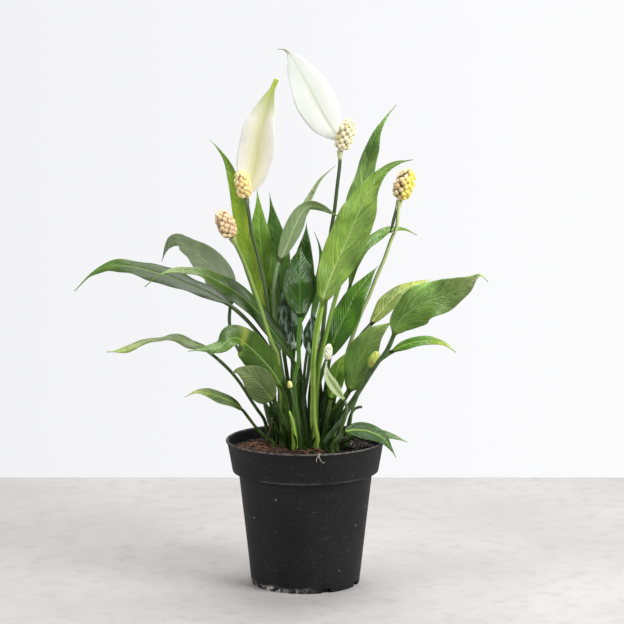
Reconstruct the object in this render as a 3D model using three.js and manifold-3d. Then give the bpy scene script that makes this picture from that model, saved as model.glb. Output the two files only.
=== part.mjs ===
// Potted peace lily: a clump of leaves and five blooms standing in the peat of a plastic nursery pot.
// Units are millimetres. The pot stands on z = 0 with its axis on the z axis; -y is the front.
import * as THREE from 'three';
import { mergeVertices } from 'three/addons/utils/BufferGeometryUtils.js';
import Module from 'manifold-3d';

const wasm = await Module();
wasm.setup();

// ---- Driving dimensions ----
const POT_HEIGHT = 110;
const POT_RIM_RADIUS = 60;
const POT_BASE_RADIUS = 41.2;
const POT_WALL = 1.5;
const POT_FLOOR = 2;
const POT_SIDES = 48;
const BAND_HEIGHT = 24;
const BAND_FOOT_RADIUS = 55.2;
const BODY_TOP_RADIUS = 50.6;
const DRAIN_NOTCHES = 8;
const DRAIN_WIDTH = 7;
const DRAIN_HEIGHT = 3.2;

const SOIL_GAP = 0.4;
const SOIL_EDGE_Z = 102;
const SOIL_CENTRE_Z = 104.6;
const SOIL_SIDES = 24;
const SOIL_RINGS = [0.93, 0.78, 0.62, 0.45, 0.27, 0.12];
const SOIL_LUMP = 1;

const FOOT_BOTTOM_Z = 88;
const FOOT_STRAIGHT_Z = 106;
const FOOT_BEND_Z = 109.5;
const HOLE_GAP = 0.3;
const HOLE_SIDES = 6;

const BLADE_THICKNESS = 0.8;
const BLADE_STEP = 13;
const PETIOLE_STEP = 30;
const BLADE_COLUMNS = [-1, -0.5, 0, 0.5, 1];
const BLADE_CURL = 0.22;

const SPADIX_COLUMNS = 20;
const SPADIX_ROWS = 11;
const SPADIX_KNOB = 0.75;

// ---- Colours ----
const COLOURS = {
  fresh: 0x7fae35,
  mid: 0x4b8a2e,
  dark: 0x2a5a24,
  grey: 0x7c9673,
  yellow: 0x9dbb4a,
  stem: 0x4f7a3a,
  cream: 0xf1efd6,
  white: 0xf6f6ee,
  knobs: 0xe6cf94,
  bud: 0xcfd36a,
  pot: 0x1d1e21,
  soil: 0x35241b,
  dry: 0x8a5a35,
};

// ---- Leaves ----
// name, tone, foot [x, y], petiole radius, line of the midrib [x, y, z] from above the soil to the tip,
// place in that line where the blade starts, blade width, roll from blade foot to tip in degrees, fold.
// A roll of 0 lays the blade broadside to the front; the fold is the rise of each half over its width.
const LEAVES = [
  ['tall_left_leaf', 'fresh', [-17, 9.5], 1.4,
    [[-19, 12, 149], [-25, 14, 176], [-30, 12, 198], [-36, 10, 222], [-42, 9, 247], [-47, 8, 272],
      [-51, 8, 294], [-58, 12, 317], [-66, 15, 329], [-72, 17, 335]],
    2, 17, [-35, -38, -28, -10], 0.25],
  ['light_leaf_behind_stem', 'fresh', [-14.5, 16], 1.3,
    [[-22, 18, 159], [-25, 18, 190], [-28, 17, 217], [-32, 15, 242], [-34, 13, 261], [-35, 12, 281],
      [-36, 12, 298]],
    2, 19, [30, 30, 30], 0.2],
  ['dark_upright_leaf', 'dark', [-10.5, 10.5], 1.4,
    [[-13, 13, 149], [-17, 17.5, 179], [-20, 21, 213], [-21.5, 21.5, 242], [-22.5, 21, 262], [-25, 21, 280],
      [-27, 22, 294]],
    1, 27, [-25, -28, -28], 0.25],
  ['grey_leaf_bending_right', 'grey', [-7, 1], 1.5,
    [[-17, 3, 158], [-21, 3, 185], [-23, 2, 208], [-23, -1, 231], [-20, -3, 245], [-14, -5, 258],
      [-8, -6, 272], [-2, -5, 283], [4, -3, 287], [12, 1, 285], [21, 4, 280], [27, 6, 277]],
    4, 16, [205, 210, 225, 230], 0.3],
  ['thin_tipped_leaf', 'grey', [-4.5, 12.5], 1.2,
    [[-7, 11, 142], [-11, 9, 176], [-15, 8, 205], [-20, 6, 228], [-19, 4, 243], [-11, 7, 262],
      [-5, 8, 275], [0, 9, 286], [5.5, 10, 296], [11, 10, 305], [17, 10, 311], [23, 9, 316]],
    4, 6, [10, 20, 20], 0.3],
  ['wide_centre_leaf', 'dark', [-4.5, -7], 1.6,
    [[-8, -9, 141], [-8, -12, 160], [-5, -12, 171], [-5, -12, 187], [-4, -11, 204], [-4, -9, 218],
      [-4, -6, 231], [-4, -1, 240], [-4, 4, 246], [-3.5, 9, 251], [-3, 14, 255]],
    4, 26, [12, 12, 12], 0.15],
  ['leaf_behind_centre', 'dark', [-6, 18.5], 1.4,
    [[-10, 22, 151], [-7, 26, 189], [-4, 29, 215], [-2, 30, 236], [0, 32, 255], [1, 36, 270]],
    1, 21, [-20, -20, -20], 0.2],
  ['thin_dark_tip', 'dark', [1.5, 18], 1.1,
    [[-1, 24, 151], [4, 32, 188], [9, 36, 218], [12, 38, 242], [10, 39, 254], [7, 40, 262]],
    1, 8, [40, 40, 40], 0.3],
  ['big_bright_leaf', 'fresh', [8.5, -12], 2.1,
    [[6, -13, 127], [6, -14, 146], [6, -14, 167], [7, -14, 182], [9, -14, 197], [12, -13, 212],
      [16, -12, 227], [22.5, -11, 243], [31, -10, 262], [39, -9, 281], [48, -9, 300], [57, -11, 313],
      [68, -14, 320], [79, -17, 323]],
    5, 31, [-15, -22, -25, -50, -60], 0.22],
  ['dark_tall_leaf', 'dark', [7, -4.5], 1.6,
    [[7, -5, 125], [8, -5, 145], [10, -5, 164], [13, -4, 179], [16.5, -3, 194], [20, -1, 208], [27.5, 6, 234],
      [34, 15, 263], [41, 25, 292], [47, 34, 314], [53, 42, 334], [60, 48, 347], [69, 54, 358]],
    6, 23, [-30, -40, -50, -50], 0.25],
  ['thin_arching_leaf', 'mid', [11, 16], 1.2,
    [[14, 22, 136], [20, 31, 173], [27, 37, 199], [33, 42, 217], [38, 48, 236], [45, 55, 248], [55, 65, 256],
      [65, 76, 260], [76, 86, 259], [87, 96, 253]],
    3, 12.5, [-50, -60, -62], 0.2],
  ['far_left_leaf', 'mid', [-22, 1], 1.5,
    [[-23, -1, 140], [-25, -2, 163], [-27, -2, 178], [-34, -1, 189], [-44, 4, 200], [-55, 10, 209],
      [-70, 18, 217], [-89, 28, 224], [-111, 41, 230], [-135, 54, 234], [-152, 64, 233], [-166, 72, 225],
      [-180, 80, 211]],
    5, 23, [60, 63, 65, 65], 0.2],
  ['upper_left_leaf', 'grey', [-24, 12], 1.2,
    [[-28, 14, 122], [-33, 20, 140], [-41, 25, 158], [-50, 30, 171], [-56, 33, 183], [-58, 35, 194],
      [-57.5, 36, 204], [-57, 38, 212], [-60, 44, 221], [-70, 52, 233], [-81, 61, 241],
      [-92, 69, 248], [-101, 75, 251], [-107, 79, 246], [-112, 82, 234]],
    6, 31, [150, 146, 138, 125], 0.15],
  ['long_left_leaf', 'dark', [0, -1], 1.5,
    [[-5, -3, 140], [-5, -5, 156], [-8, -5, 168], [-14, -5, 179], [-23, -5, 191], [-32, -6, 204],
      [-43, -9, 216], [-54, -12, 225], [-68, -17, 234], [-79, -22, 240], [-89, -27, 242], [-103, -31, 241],
      [-112, -34, 236], [-118, -36, 231]],
    2, 18, [42, 46, 50, 66, 74], 0.25],
  ['twisted_left_leaf', 'mid', [-28, 6], 1.2,
    [[-31, 3, 124], [-36, 1, 132], [-41, -1, 140], [-45, -3, 147], [-50, -5, 155], [-57, -7, 164],
      [-66, -9, 173], [-75, -11, 181], [-86, -15, 186], [-99, -20, 190], [-112, -26, 190], [-123, -33, 188],
      [-135, -39, 184], [-146, -45, 184]],
    6, 15, [60, 72, 88, 62, 52], 0.2],
  ['folded_over_leaf', 'mid', [-11, -4], 1.6,
    [[-13, -7, 127], [-15, -12, 141], [-17, -17, 151], [-23, -23, 164], [-32, -29, 176], [-42, -36, 187],
      [-50, -42, 194], [-55, -49, 194], [-61, -55, 190], [-71, -60, 189], [-85, -65, 188]],
    2, 27, [35, 40, 45, 60, 65], 0.15],
  ['grey_dark_leaf', 'dark', [-14.5, -11], 1.5,
    [[-15, -16, 121], [-19, -23, 134], [-23, -31, 145], [-28, -40, 153], [-35, -46, 162], [-43, -51, 169],
      [-50, -54, 171.5], [-54, -55, 169]],
    2, 24, [25, 22, 20], 0.15],
  ['low_left_leaf', 'fresh', [-24, -13], 1.3,
    [[-29, -17, 114], [-35, -22, 121], [-41, -28, 130], [-46, -34, 138], [-52, -41, 145], [-62, -50, 151],
      [-72, -59, 156], [-80, -67, 158], [-87, -74, 156]],
    3, 11.5, [55, 60, 60], 0.2],
  ['dark_leaf_right_of_centre', 'mid', [7.5, 4], 1.6,
    [[8, 6, 131], [10, 8, 150], [16, 11, 168], [23, 15, 186], [31, 20, 202], [39, 26, 217], [48, 33, 228],
      [55, 40, 236]],
    2, 24.5, [-30, -38, -40], 0.2],
  ['yellow_green_leaf', 'yellow', [20, 5], 1.9,
    [[19, 8, 131], [22, 11, 149], [29, 15, 166], [38, 21, 180], [49, 28, 192], [57, 35, 201], [65, 43, 209],
      [74, 53, 215], [85, 64, 219], [97, 75, 221]],
    4, 20, [-50, -58, -60], 0.2],
  ['big_right_leaf', 'mid', [14.5, -15], 1.9,
    [[21, -14, 119], [28, -13, 128], [37, -13, 143], [46, -14, 158], [54, -16, 171], [61, -18, 181],
      [65, -22, 191], [69, -28, 203], [76, -36, 212], [87, -47, 221], [101, -60, 228], [114, -72, 236],
      [126, -82, 246], [131, -86, 242]],
    6, 31, [-28, -36, -40, -45], 0.18],
  ['bright_right_leaf', 'fresh', [20, -4], 1.9,
    [[26, 3, 124], [37, 8, 140], [47, 11, 156], [56, 12, 168], [64, 11, 174], [73, 7, 180], [83, 1, 184],
      [93, -6, 186], [103, -14, 185], [112, -22, 180]],
    4, 12.5, [-55, -63, -65], 0.2],
  ['broad_green_leaf', 'mid', [14, 1], 1.7,
    [[17, 0, 124], [25, -3, 136], [32, -4, 146], [37, -3, 156], [40, -1, 167], [45, 0, 179], [51, 0, 188],
      [59, 0, 195], [66, 0, 200]],
    2, 25, [10, 15, 15], 0.15],
  ['leaf_over_the_rim', 'fresh', [20, -23], 1.3,
    [[24, -25, 114.5], [28, -25, 119.5], [35, -24, 121.5], [43, -22, 121], [51, -20.5, 118.5],
      [59, -20, 113.5], [64, -21, 107], [68, -22, 100]],
    1, 15, [-40, -50, -50], 0.2],
  ['narrow_leaf_over_rim', 'mid', [28, -9], 1.2,
    [[32, -11, 111.5], [38, -11, 114.5], [45, -10, 116.5], [53, -8, 116.5], [61, -6, 114.5], [69, -4, 111.5],
      [77, -3, 108]],
    1, 8, [-50, -55, -55], 0.2],
  ['small_bright_leaf', 'fresh', [13.5, -6], 1.2,
    [[16, -8, 126], [19, -8, 141], [22, -7, 153], [24, -6, 164], [27, -5, 171], [31, -4, 177]],
    1, 13, [0, 0, 0], 0.25],
  ['puckered_leaf', 'grey', [2.5, -9], 1.3,
    [[-1, -8, 137], [-2, -6, 152], [-4, -2, 164], [-5, 0, 176], [-7, 1, 184], [-10, 2, 195], [-13, 2, 208],
      [-15, 1, 221], [-16, 1, 231]],
    3, 17.5, [15, 15, 15], 0.15],
  ['puckered_narrow_leaf', 'grey', [-2, 6], 1.3,
    [[-1, 6, 139], [2, 5.5, 158], [3.5, 5.5, 173], [4.5, 5.5, 185], [5.5, 6, 195], [6, 7.5, 207]],
    2, 13.5, [0, 0, 0], 0.2],
];

// ---- Stems ----
// name, tone, foot [x, y], radius at foot and top, line from above the soil to the top.
const STEMS = [
  ['front_left_bloom_stem', 'stem', [-12.5, 4.5], 1.5, 1.3,
    [[-16, 7, 138], [-19, 8, 157], [-22, 7, 177], [-26, 4, 199], [-30, -2, 225], [-35, -5, 249],
      [-40, -5, 268], [-42, -6, 283], [-44, -6, 293]]],
  ['tall_bloom_stem', 'stem', [4, 11.5], 1.7, 1.3,
    [[7, 14, 137], [10, 21, 168], [13, 25, 187], [15, 26, 205], [17, 26, 236], [19, 25, 262],
      [22, 22, 281], [24, 20, 299], [26, 20, 317], [26, 20, 326]]],
  ['low_left_bloom_stem', 'fresh', [-18, -5], 1.7, 1.5,
    [[-18, -8, 141], [-20, -10, 161], [-21, -12, 176], [-25, -15, 186], [-29, -16, 198], [-33, -16, 211],
      [-38, -16, 226], [-44, -16, 243], [-50, -17, 257], [-54, -18, 265]]],
  ['right_bloom_stem', 'stem', [17, 12], 1.7, 1.3,
    [[20, 16, 137], [28, 21, 159], [35, 28, 181], [42, 32, 200], [49, 35, 215], [54, 36, 228], [60, 35, 242],
      [65, 33, 257], [69, 30, 267], [70, 28, 279], [71, 27, 288]]],
  ['young_bloom_stem', 'stem', [24, -17], 1.4, 1.2,
    [[27, -19, 122], [30, -21, 131], [31, -21, 138], [29.2, -20, 142.9]]],
  ['right_bud_stem', 'stem', [33, -2], 1.1, 1,
    [[35, -4, 131], [39, -5, 143], [44, -6, 154], [49, -6, 165]]],
  ['small_bud_stem', 'dry', [-3, -21], 0.9, 0.8,
    [[-4, -22, 119], [-6, -21, 129], [-8, -21, 140], [-11, -20, 152]]],
  ['broken_petiole', 'dark', [31, 7], 1.2, 1.1,
    [[33, 8, 122], [35, 8, 128], [38, 8, 132], [43, 8, 133]]],
  ['cut_stump', 'dry', [-29, -4], 1.2, 1,
    [[-28, -4, 112], [-26, -4, 119], [-25, -4, 127]]],
  ['young_rolled_leaf', 'yellow', [-8, -15], 2.4, 0.8,
    [[-8, -15, 112], [-9, -15, 119], [-10, -15, 127], [-12, -14, 134]]],
];

// ---- Spathes ----
// name, tone, foot radius, midrib line, place where the blade starts, width, rolls, fold.
const SPATHES = [
  ['front_left_spathe', 'cream', 1.1,
    [[-42.2, -3.1, 284], [-43.8, -3.1, 293], [-42.5, 0.5, 299], [-38.5, 3, 312], [-35, 4, 328],
      [-32.5, 4, 344], [-29, 4, 358], [-25, 3, 371], [-21, 2, 381]],
    1, 32, [-20, -30, -35, -10], 0.45],
  ['tall_spathe', 'white', 1.1,
    [[26, 22.9, 318], [26, 22.9, 326], [25, 25, 331], [21.5, 28, 339], [15, 30, 349], [8, 31, 362],
      [1, 30, 375], [-5, 28, 386], [-10, 25, 395], [-15, 22, 401], [-20.5, 20, 402]],
    2, 33, [20, 25, 25, 10], 0.25],
  ['young_spathe', 'cream', 1.2,
    [[28.7, -19.9, 143.8], [25.5, -20, 148], [20.5, -20, 155], [16.5, -20, 162], [15.5, -20, 168],
      [16, -20, 173]],
    0, 9, [10, 10, 10], 0.5],
  ['right_bract', 'dark', 0.9,
    [[64.6, 32.2, 263], [66.4, 28.4, 271], [67.8, 25.8, 279], [68.6, 24.6, 287]],
    0, 3, [30, 30, 30], 0.2],
];

// ---- Spadices and buds ----
// name, tone, foot point, top point, radius, true where it carries knobs.
const SPADICES = [
  ['front_left_spadix', 'knobs', [-44.2, -6.7, 293.9], [-48, -15, 315], 5.8, true],
  ['tall_spadix', 'knobs', [26.3, 19.3, 327], [34, 13, 351], 6.3, true],
  ['low_left_spadix', 'knobs', [-54.3, -18.1, 265.4], [-63.5, -20, 286], 6.8, true],
  ['right_spadix', 'knobs', [71.1, 26.9, 288.8], [78.5, 23, 312.5], 7.4, true],
  ['young_spadix', 'white', [16.1, -20, 173.9], [18, -20, 186], 3.1, true],
  ['right_bud', 'bud', [49.3, -6, 165.5], [54, -6, 178], 4, false],
  ['small_bud', 'bud', [-11.1, -20, 152.4], [-12, -20, 158], 2, false],
];

// ---- Helpers ----
function random(seed) {
  let state = seed;
  return () => {
    state = (state * 1664525 + 1013904223) % 4294967296;
    return state / 4294967296;
  };
}

function material(tone) {
  const rough = tone === 'soil' ? 0.95 : 0.5;
  return new THREE.MeshStandardMaterial({ color: COLOURS[tone], roughness: rough, metalness: 0 });
}

function named(name, tone, geometry) {
  geometry.computeVertexNormals();
  const mesh = new THREE.Mesh(geometry, material(tone));
  mesh.name = name;
  return mesh;
}

function closedGeometry(points, triangles) {
  const geometry = new THREE.BufferGeometry();
  geometry.setAttribute('position', new THREE.Float32BufferAttribute(points.flat(), 3));
  geometry.setIndex(triangles.flat());
  return geometry;
}

function solid(geometry) {
  const bare = geometry.clone();
  bare.deleteAttribute('normal');
  bare.deleteAttribute('uv');
  const merged = mergeVertices(bare, 1e-4);
  const vertProperties = new Float32Array(merged.attributes.position.array);
  const triVerts = new Uint32Array(merged.index.array);
  return new wasm.Manifold(new wasm.Mesh({ numProp: 3, vertProperties, triVerts }));
}

function fromSolid(body) {
  const mesh = body.getMesh();
  const geometry = new THREE.BufferGeometry();
  geometry.setAttribute('position', new THREE.BufferAttribute(new Float32Array(mesh.vertProperties), 3));
  geometry.setIndex(new THREE.BufferAttribute(new Uint32Array(mesh.triVerts), 1));
  return geometry;
}

// Skins a stack of rings that all have the same number of points, and closes both ends.
function skin(rings, knobs = false) {
  const sides = rings[0].length;
  const points = rings.flat();
  const triangles = [];
  for (let i = 0; i < rings.length - 1; i += 1) {
    for (let j = 0; j < sides; j += 1) {
      const k = (j + 1) % sides;
      const a = i * sides + j;
      const b = i * sides + k;
      const c = (i + 1) * sides + j;
      const d = (i + 1) * sides + k;
      // The second half of a ring lies under the first, so its diagonals mirror those above it.
      // Between knobs the diagonals run along the valleys.
      if (knobs ? (i + j) % 2 === 1 : j < sides / 2) {
        triangles.push([a, d, b], [a, c, d]);
      } else {
        triangles.push([a, c, b], [b, c, d]);
      }
    }
  }
  const last = (rings.length - 1) * sides;
  const half = sides / 2;
  for (let j = 0; j < half - 1; j += 1) {
    const across = sides - 1 - j;
    triangles.push([j, j + 1, across], [j + 1, across - 1, across]);
    triangles.push([last + j, last + across, last + j + 1]);
    triangles.push([last + j + 1, last + across, last + across - 1]);
  }
  return closedGeometry(points, triangles);
}

function lerpList(list, t) {
  const place = Math.min(Math.max(t, 0), 1) * (list.length - 1);
  const low = Math.min(Math.floor(place), list.length - 2);
  return list[low] + (list[low + 1] - list[low]) * (place - low);
}

function smooth(t) {
  const s = Math.min(Math.max(t, 0), 1);
  return s * s * (3 - 2 * s);
}

// Half-breadth of a lance-shaped blade: widest before the middle, drawn out to a long tip.
function bladeBreadth(t) {
  return Math.pow(Math.max(Math.sin(Math.PI * Math.pow(t, 0.8)), 0), 0.9 + 0.5 * t);
}

// Places along the line: the straight foot, the petiole, then the blade.
function stations(curve, pointCount, footPlace, bladePlace) {
  const lengths = curve.getLengths(400);
  const total = lengths[lengths.length - 1];
  const share = (place) => {
    const at = (place / (pointCount - 1)) * 400;
    const low = Math.min(Math.floor(at), 399);
    return (lengths[low] + (lengths[low + 1] - lengths[low]) * (at - low)) / total;
  };
  const foot = footPlace > 0 ? share(footPlace) : 0;
  const start = share(bladePlace);
  const list = foot > 0 ? [0] : [];
  const petioleSteps = Math.max(1, Math.round(((start - foot) * total) / PETIOLE_STEP));
  for (let i = 0; i < petioleSteps; i += 1) {
    list.push(foot + ((start - foot) * i) / petioleSteps);
  }
  const bladeSteps = Math.max(5, Math.round(((1 - start) * total) / BLADE_STEP));
  for (let i = 0; i <= bladeSteps; i += 1) {
    list.push(Math.min(start + ((1 - start) * i) / bladeSteps, 1));
  }
  return { list, start };
}

// One ring of the leaf: round at the petiole, a thin folded strip at the blade.
function leafRing(curve, place, start, radius, width, rolls, fold) {
  const centre = curve.getPointAt(place);
  const along = curve.getTangentAt(place);
  const t = Math.max((place - start) / (1 - start), 0);
  const roll = THREE.MathUtils.degToRad(lerpList(rolls, t));
  const side = new THREE.Vector3().crossVectors(along, new THREE.Vector3(0, 1, 0)).normalize();
  side.applyAxisAngle(along, roll);
  const face = new THREE.Vector3().crossVectors(along, side);
  const half = Math.max((width / 2) * bladeBreadth(t), 0.5);
  const rib = THREE.MathUtils.lerp(radius, 0.45, smooth(t * 2.5));
  const flat = smooth(t / 0.08);
  const ring = [];
  for (let j = 0; j < 10; j += 1) {
    const column = j < 5 ? BLADE_COLUMNS[j] : BLADE_COLUMNS[9 - j];
    const upper = j < 5 ? 1 : -1;
    const angle = Math.PI - (Math.PI / 10) - (j * Math.PI) / 5;
    const breadth = Math.max(half, radius * (1 - flat));
    const lift = half * (fold * Math.abs(column) - BLADE_CURL * column * column);
    const under = (rib - BLADE_THICKNESS / 2) * Math.max(1 - 3 * Math.abs(column), 0);
    const thick = upper * (BLADE_THICKNESS / 2) + (upper < 0 ? -2 * Math.max(under, 0) : 0);
    const u = THREE.MathUtils.lerp(radius * Math.cos(angle), -column * -1 * breadth, flat);
    const v = THREE.MathUtils.lerp(radius * Math.sin(angle), lift + thick, flat);
    const point = centre.clone().addScaledVector(side, u).addScaledVector(face, v);
    ring.push([point.x, point.y, point.z]);
  }
  return ring;
}

function strip(line, footPlace, bladePlace, radius, width, rolls, fold) {
  const curve = new THREE.CatmullRomCurve3(line.map((p) => new THREE.Vector3(...p)));
  curve.arcLengthDivisions = 400;
  const { list, start } = stations(curve, line.length, footPlace, bladePlace);
  return skin(list.map((place) => leafRing(curve, place, start, radius, width, rolls, fold)));
}

function rooted(foot, path) {
  return [
    [foot[0], foot[1], FOOT_BOTTOM_Z],
    [foot[0], foot[1], FOOT_STRAIGHT_Z],
    [foot[0], foot[1], FOOT_BEND_Z],
    ...path,
  ];
}

function leaf([name, tone, foot, radius, path, blade, width, rolls, fold]) {
  return named(name, tone, strip(rooted(foot, path), 1, blade + 3, radius, width, rolls, fold));
}

function spathe([name, tone, radius, path, blade, width, rolls, fold]) {
  return named(name, tone, strip(path, 0, blade, radius, width, rolls, fold));
}

// A round stem: rings of eight points along its line.
function stem([name, tone, foot, footRadius, topRadius, path]) {
  const line = rooted(foot, path);
  const curve = new THREE.CatmullRomCurve3(line.map((p) => new THREE.Vector3(...p)));
  curve.arcLengthDivisions = 400;
  const places = [0];
  const total = curve.getLength();
  const first = (FOOT_STRAIGHT_Z - FOOT_BOTTOM_Z) / total;
  const steps = Math.max(3, Math.round((total * (1 - first)) / 22));
  for (let i = 0; i <= steps; i += 1) {
    places.push(Math.min(first + ((1 - first) * i) / steps, 1));
  }
  const rings = places.map((place) => {
    const centre = curve.getPointAt(place);
    const along = curve.getTangentAt(place);
    const side = new THREE.Vector3().crossVectors(along, new THREE.Vector3(0, 1, 0)).normalize();
    const face = new THREE.Vector3().crossVectors(along, side);
    const radius = THREE.MathUtils.lerp(footRadius, topRadius, place);
    const ring = [];
    for (let j = 0; j < 8; j += 1) {
      const angle = Math.PI - Math.PI / 8 - (j * Math.PI) / 4;
      const point = centre.clone();
      point.addScaledVector(side, radius * Math.cos(angle));
      point.addScaledVector(face, radius * Math.sin(angle));
      ring.push([point.x, point.y, point.z]);
    }
    return ring;
  });
  return named(name, tone, skin(rings));
}

// A spadix or bud: rings about its axis; on a spadix every second point stands out as a knob.
function spadix([name, tone, foot, top, radius, knobs]) {
  const a = new THREE.Vector3(...foot);
  const b = new THREE.Vector3(...top);
  const along = b.clone().sub(a).normalize();
  const side = new THREE.Vector3().crossVectors(along, new THREE.Vector3(0, 1, 0)).normalize();
  const face = new THREE.Vector3().crossVectors(along, side);
  const columns = knobs ? SPADIX_COLUMNS : 10;
  const rows = knobs ? SPADIX_ROWS : 6;
  const rings = [];
  for (let i = 0; i <= rows; i += 1) {
    const t = i / rows;
    const breadth = radius * Math.pow(Math.sin(Math.PI * (0.1 + 0.84 * Math.pow(t, 0.85))), 0.55);
    const centre = a.clone().lerp(b, t);
    const ring = [];
    for (let j = 0; j < columns; j += 1) {
      const angle = (-2 * Math.PI * j) / columns;
      const raised = knobs && (i + j) % 2 === 0 ? SPADIX_KNOB : -SPADIX_KNOB;
      const ends = i === 0 || i === rows;
      const r = breadth * (ends ? 0.45 : 1) + (knobs && !ends ? raised : 0);
      const point = centre.clone();
      point.addScaledVector(side, r * Math.cos(angle));
      point.addScaledVector(face, r * Math.sin(angle));
      ring.push([point.x, point.y, point.z]);
    }
    rings.push(ring);
  }
  return named(name, tone, skin(rings, knobs));
}

function lathe(profile, sides) {
  const geometry = new THREE.LatheGeometry(profile.map(([r, z]) => new THREE.Vector2(r, z)), sides);
  geometry.rotateX(Math.PI / 2);
  return geometry;
}

function drainNotches() {
  const boxes = [];
  for (let i = 0; i < DRAIN_NOTCHES; i += 1) {
    const box = new THREE.BoxGeometry(10, DRAIN_WIDTH, DRAIN_HEIGHT * 2);
    box.translate(POT_BASE_RADIUS + 1, 0, 0);
    box.rotateZ(((i + 0.5) / DRAIN_NOTCHES) * Math.PI * 2);
    boxes.push(solid(box));
  }
  return boxes;
}

// The wall: a tapered body, a step out to the rim band, and a small lip at the top.
function pot() {
  const bandZ = POT_HEIGHT - BAND_HEIGHT;
  const w = POT_WALL;
  const profile = [
    [0, 0], [POT_BASE_RADIUS - 2.2, 0], [POT_BASE_RADIUS, 1.8], [BODY_TOP_RADIUS, bandZ - 0.5],
    [BAND_FOOT_RADIUS - 0.6, bandZ], [BAND_FOOT_RADIUS, bandZ + 0.8], [POT_RIM_RADIUS - 0.9, POT_HEIGHT - 2],
    [POT_RIM_RADIUS, POT_HEIGHT - 1.6], [POT_RIM_RADIUS, POT_HEIGHT - 0.4],
    [POT_RIM_RADIUS - 0.5, POT_HEIGHT],
    [POT_RIM_RADIUS - w - 0.3, POT_HEIGHT], [POT_RIM_RADIUS - w - 0.8, POT_HEIGHT - 2],
    [BAND_FOOT_RADIUS - w, bandZ + w + 0.4], [BODY_TOP_RADIUS - w, bandZ + w],
    [BODY_TOP_RADIUS - w - 0.1, bandZ - 1], [POT_BASE_RADIUS - w, POT_FLOOR + 0.5],
    [POT_BASE_RADIUS - w - 1, POT_FLOOR], [0, POT_FLOOR],
  ];
  let body = solid(lathe(profile, POT_SIDES));
  for (const notch of drainNotches()) {
    body = body.subtract(notch);
  }
  return named('pot', 'pot', fromSolid(body));
}

function prism(x, y, radius) {
  const geometry = new THREE.CylinderGeometry(radius, radius, 30, HOLE_SIDES);
  geometry.rotateX(Math.PI / 2);
  geometry.translate(x, y, FOOT_BOTTOM_Z - 0.4 + 15);
  return solid(geometry);
}

// The peat fills the pot up to a lumpy surface and has a hole for every foot.
function soil() {
  const bandZ = POT_HEIGHT - BAND_HEIGHT;
  const w = POT_WALL + SOIL_GAP;
  const next = random(7);
  const outline = [
    [POT_BASE_RADIUS - w - 1.2, POT_FLOOR + SOIL_GAP], [BODY_TOP_RADIUS - w - 0.2, bandZ - 1],
    [BODY_TOP_RADIUS - w, bandZ + w + 0.2], [BAND_FOOT_RADIUS - w - 0.2, bandZ + w + 0.7],
    [BAND_FOOT_RADIUS - w + 2.4, SOIL_EDGE_Z],
  ];
  const edge = outline[outline.length - 1][0];
  const rows = outline.map(([r, z]) => [r, z, 0]);
  for (const share of SOIL_RINGS) {
    const z = SOIL_CENTRE_Z + (SOIL_EDGE_Z - SOIL_CENTRE_Z) * share * share;
    rows.push([edge * share, z, SOIL_LUMP]);
  }
  const points = [[0, 0, outline[0][1]]];
  for (const [r, z, lump] of rows) {
    for (let j = 0; j < SOIL_SIDES; j += 1) {
      const angle = (j / SOIL_SIDES) * Math.PI * 2;
      points.push([r * Math.cos(angle), r * Math.sin(angle), z + (next() - 0.5) * 2 * lump]);
    }
  }
  points.push([0, 0, SOIL_CENTRE_Z]);
  const triangles = [];
  for (let j = 0; j < SOIL_SIDES; j += 1) {
    const k = (j + 1) % SOIL_SIDES;
    triangles.push([0, 1 + k, 1 + j]);
    for (let i = 0; i < rows.length - 1; i += 1) {
      const a = 1 + i * SOIL_SIDES + j;
      const b = 1 + i * SOIL_SIDES + k;
      triangles.push([a, b, b + SOIL_SIDES], [a, b + SOIL_SIDES, a + SOIL_SIDES]);
    }
    const last = 1 + (rows.length - 1) * SOIL_SIDES;
    triangles.push([last + j, last + k, points.length - 1]);
  }
  let body = solid(closedGeometry(points, triangles));
  const feet = [...LEAVES.map((row) => [row[2], row[3]]), ...STEMS.map((row) => [row[2], row[3]])];
  for (const [[x, y], radius] of feet) {
    body = body.subtract(prism(x, y, (radius + HOLE_GAP) / Math.cos(Math.PI / HOLE_SIDES)));
  }
  return named('soil', 'soil', fromSolid(body));
}

const group = new THREE.Group();
group.name = 'potted_peace_lily';
group.add(pot());
group.add(soil());
LEAVES.forEach((row) => group.add(leaf(row)));
STEMS.forEach((row) => group.add(stem(row)));
SPATHES.forEach((row) => group.add(spathe(row)));
SPADICES.forEach((row) => group.add(spadix(row)));

export default group;
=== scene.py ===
# %% [markdown]
# # A potted peace lily
#
# A peace lily is a clump of long-stalked leaves that grows from one crown in the peat of a nursery pot.
# Its flower is two things: a spadix, which is a stub covered with tiny florets, and a spathe, the white
# leaf behind it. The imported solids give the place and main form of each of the 51 pieces. This lesson
# replaces each of them with a finer surface on the same line, and gives it the finish of the real plant.
#
# All lengths in the tables are millimetres. The front is -y and the pot stands on z = 0.

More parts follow.
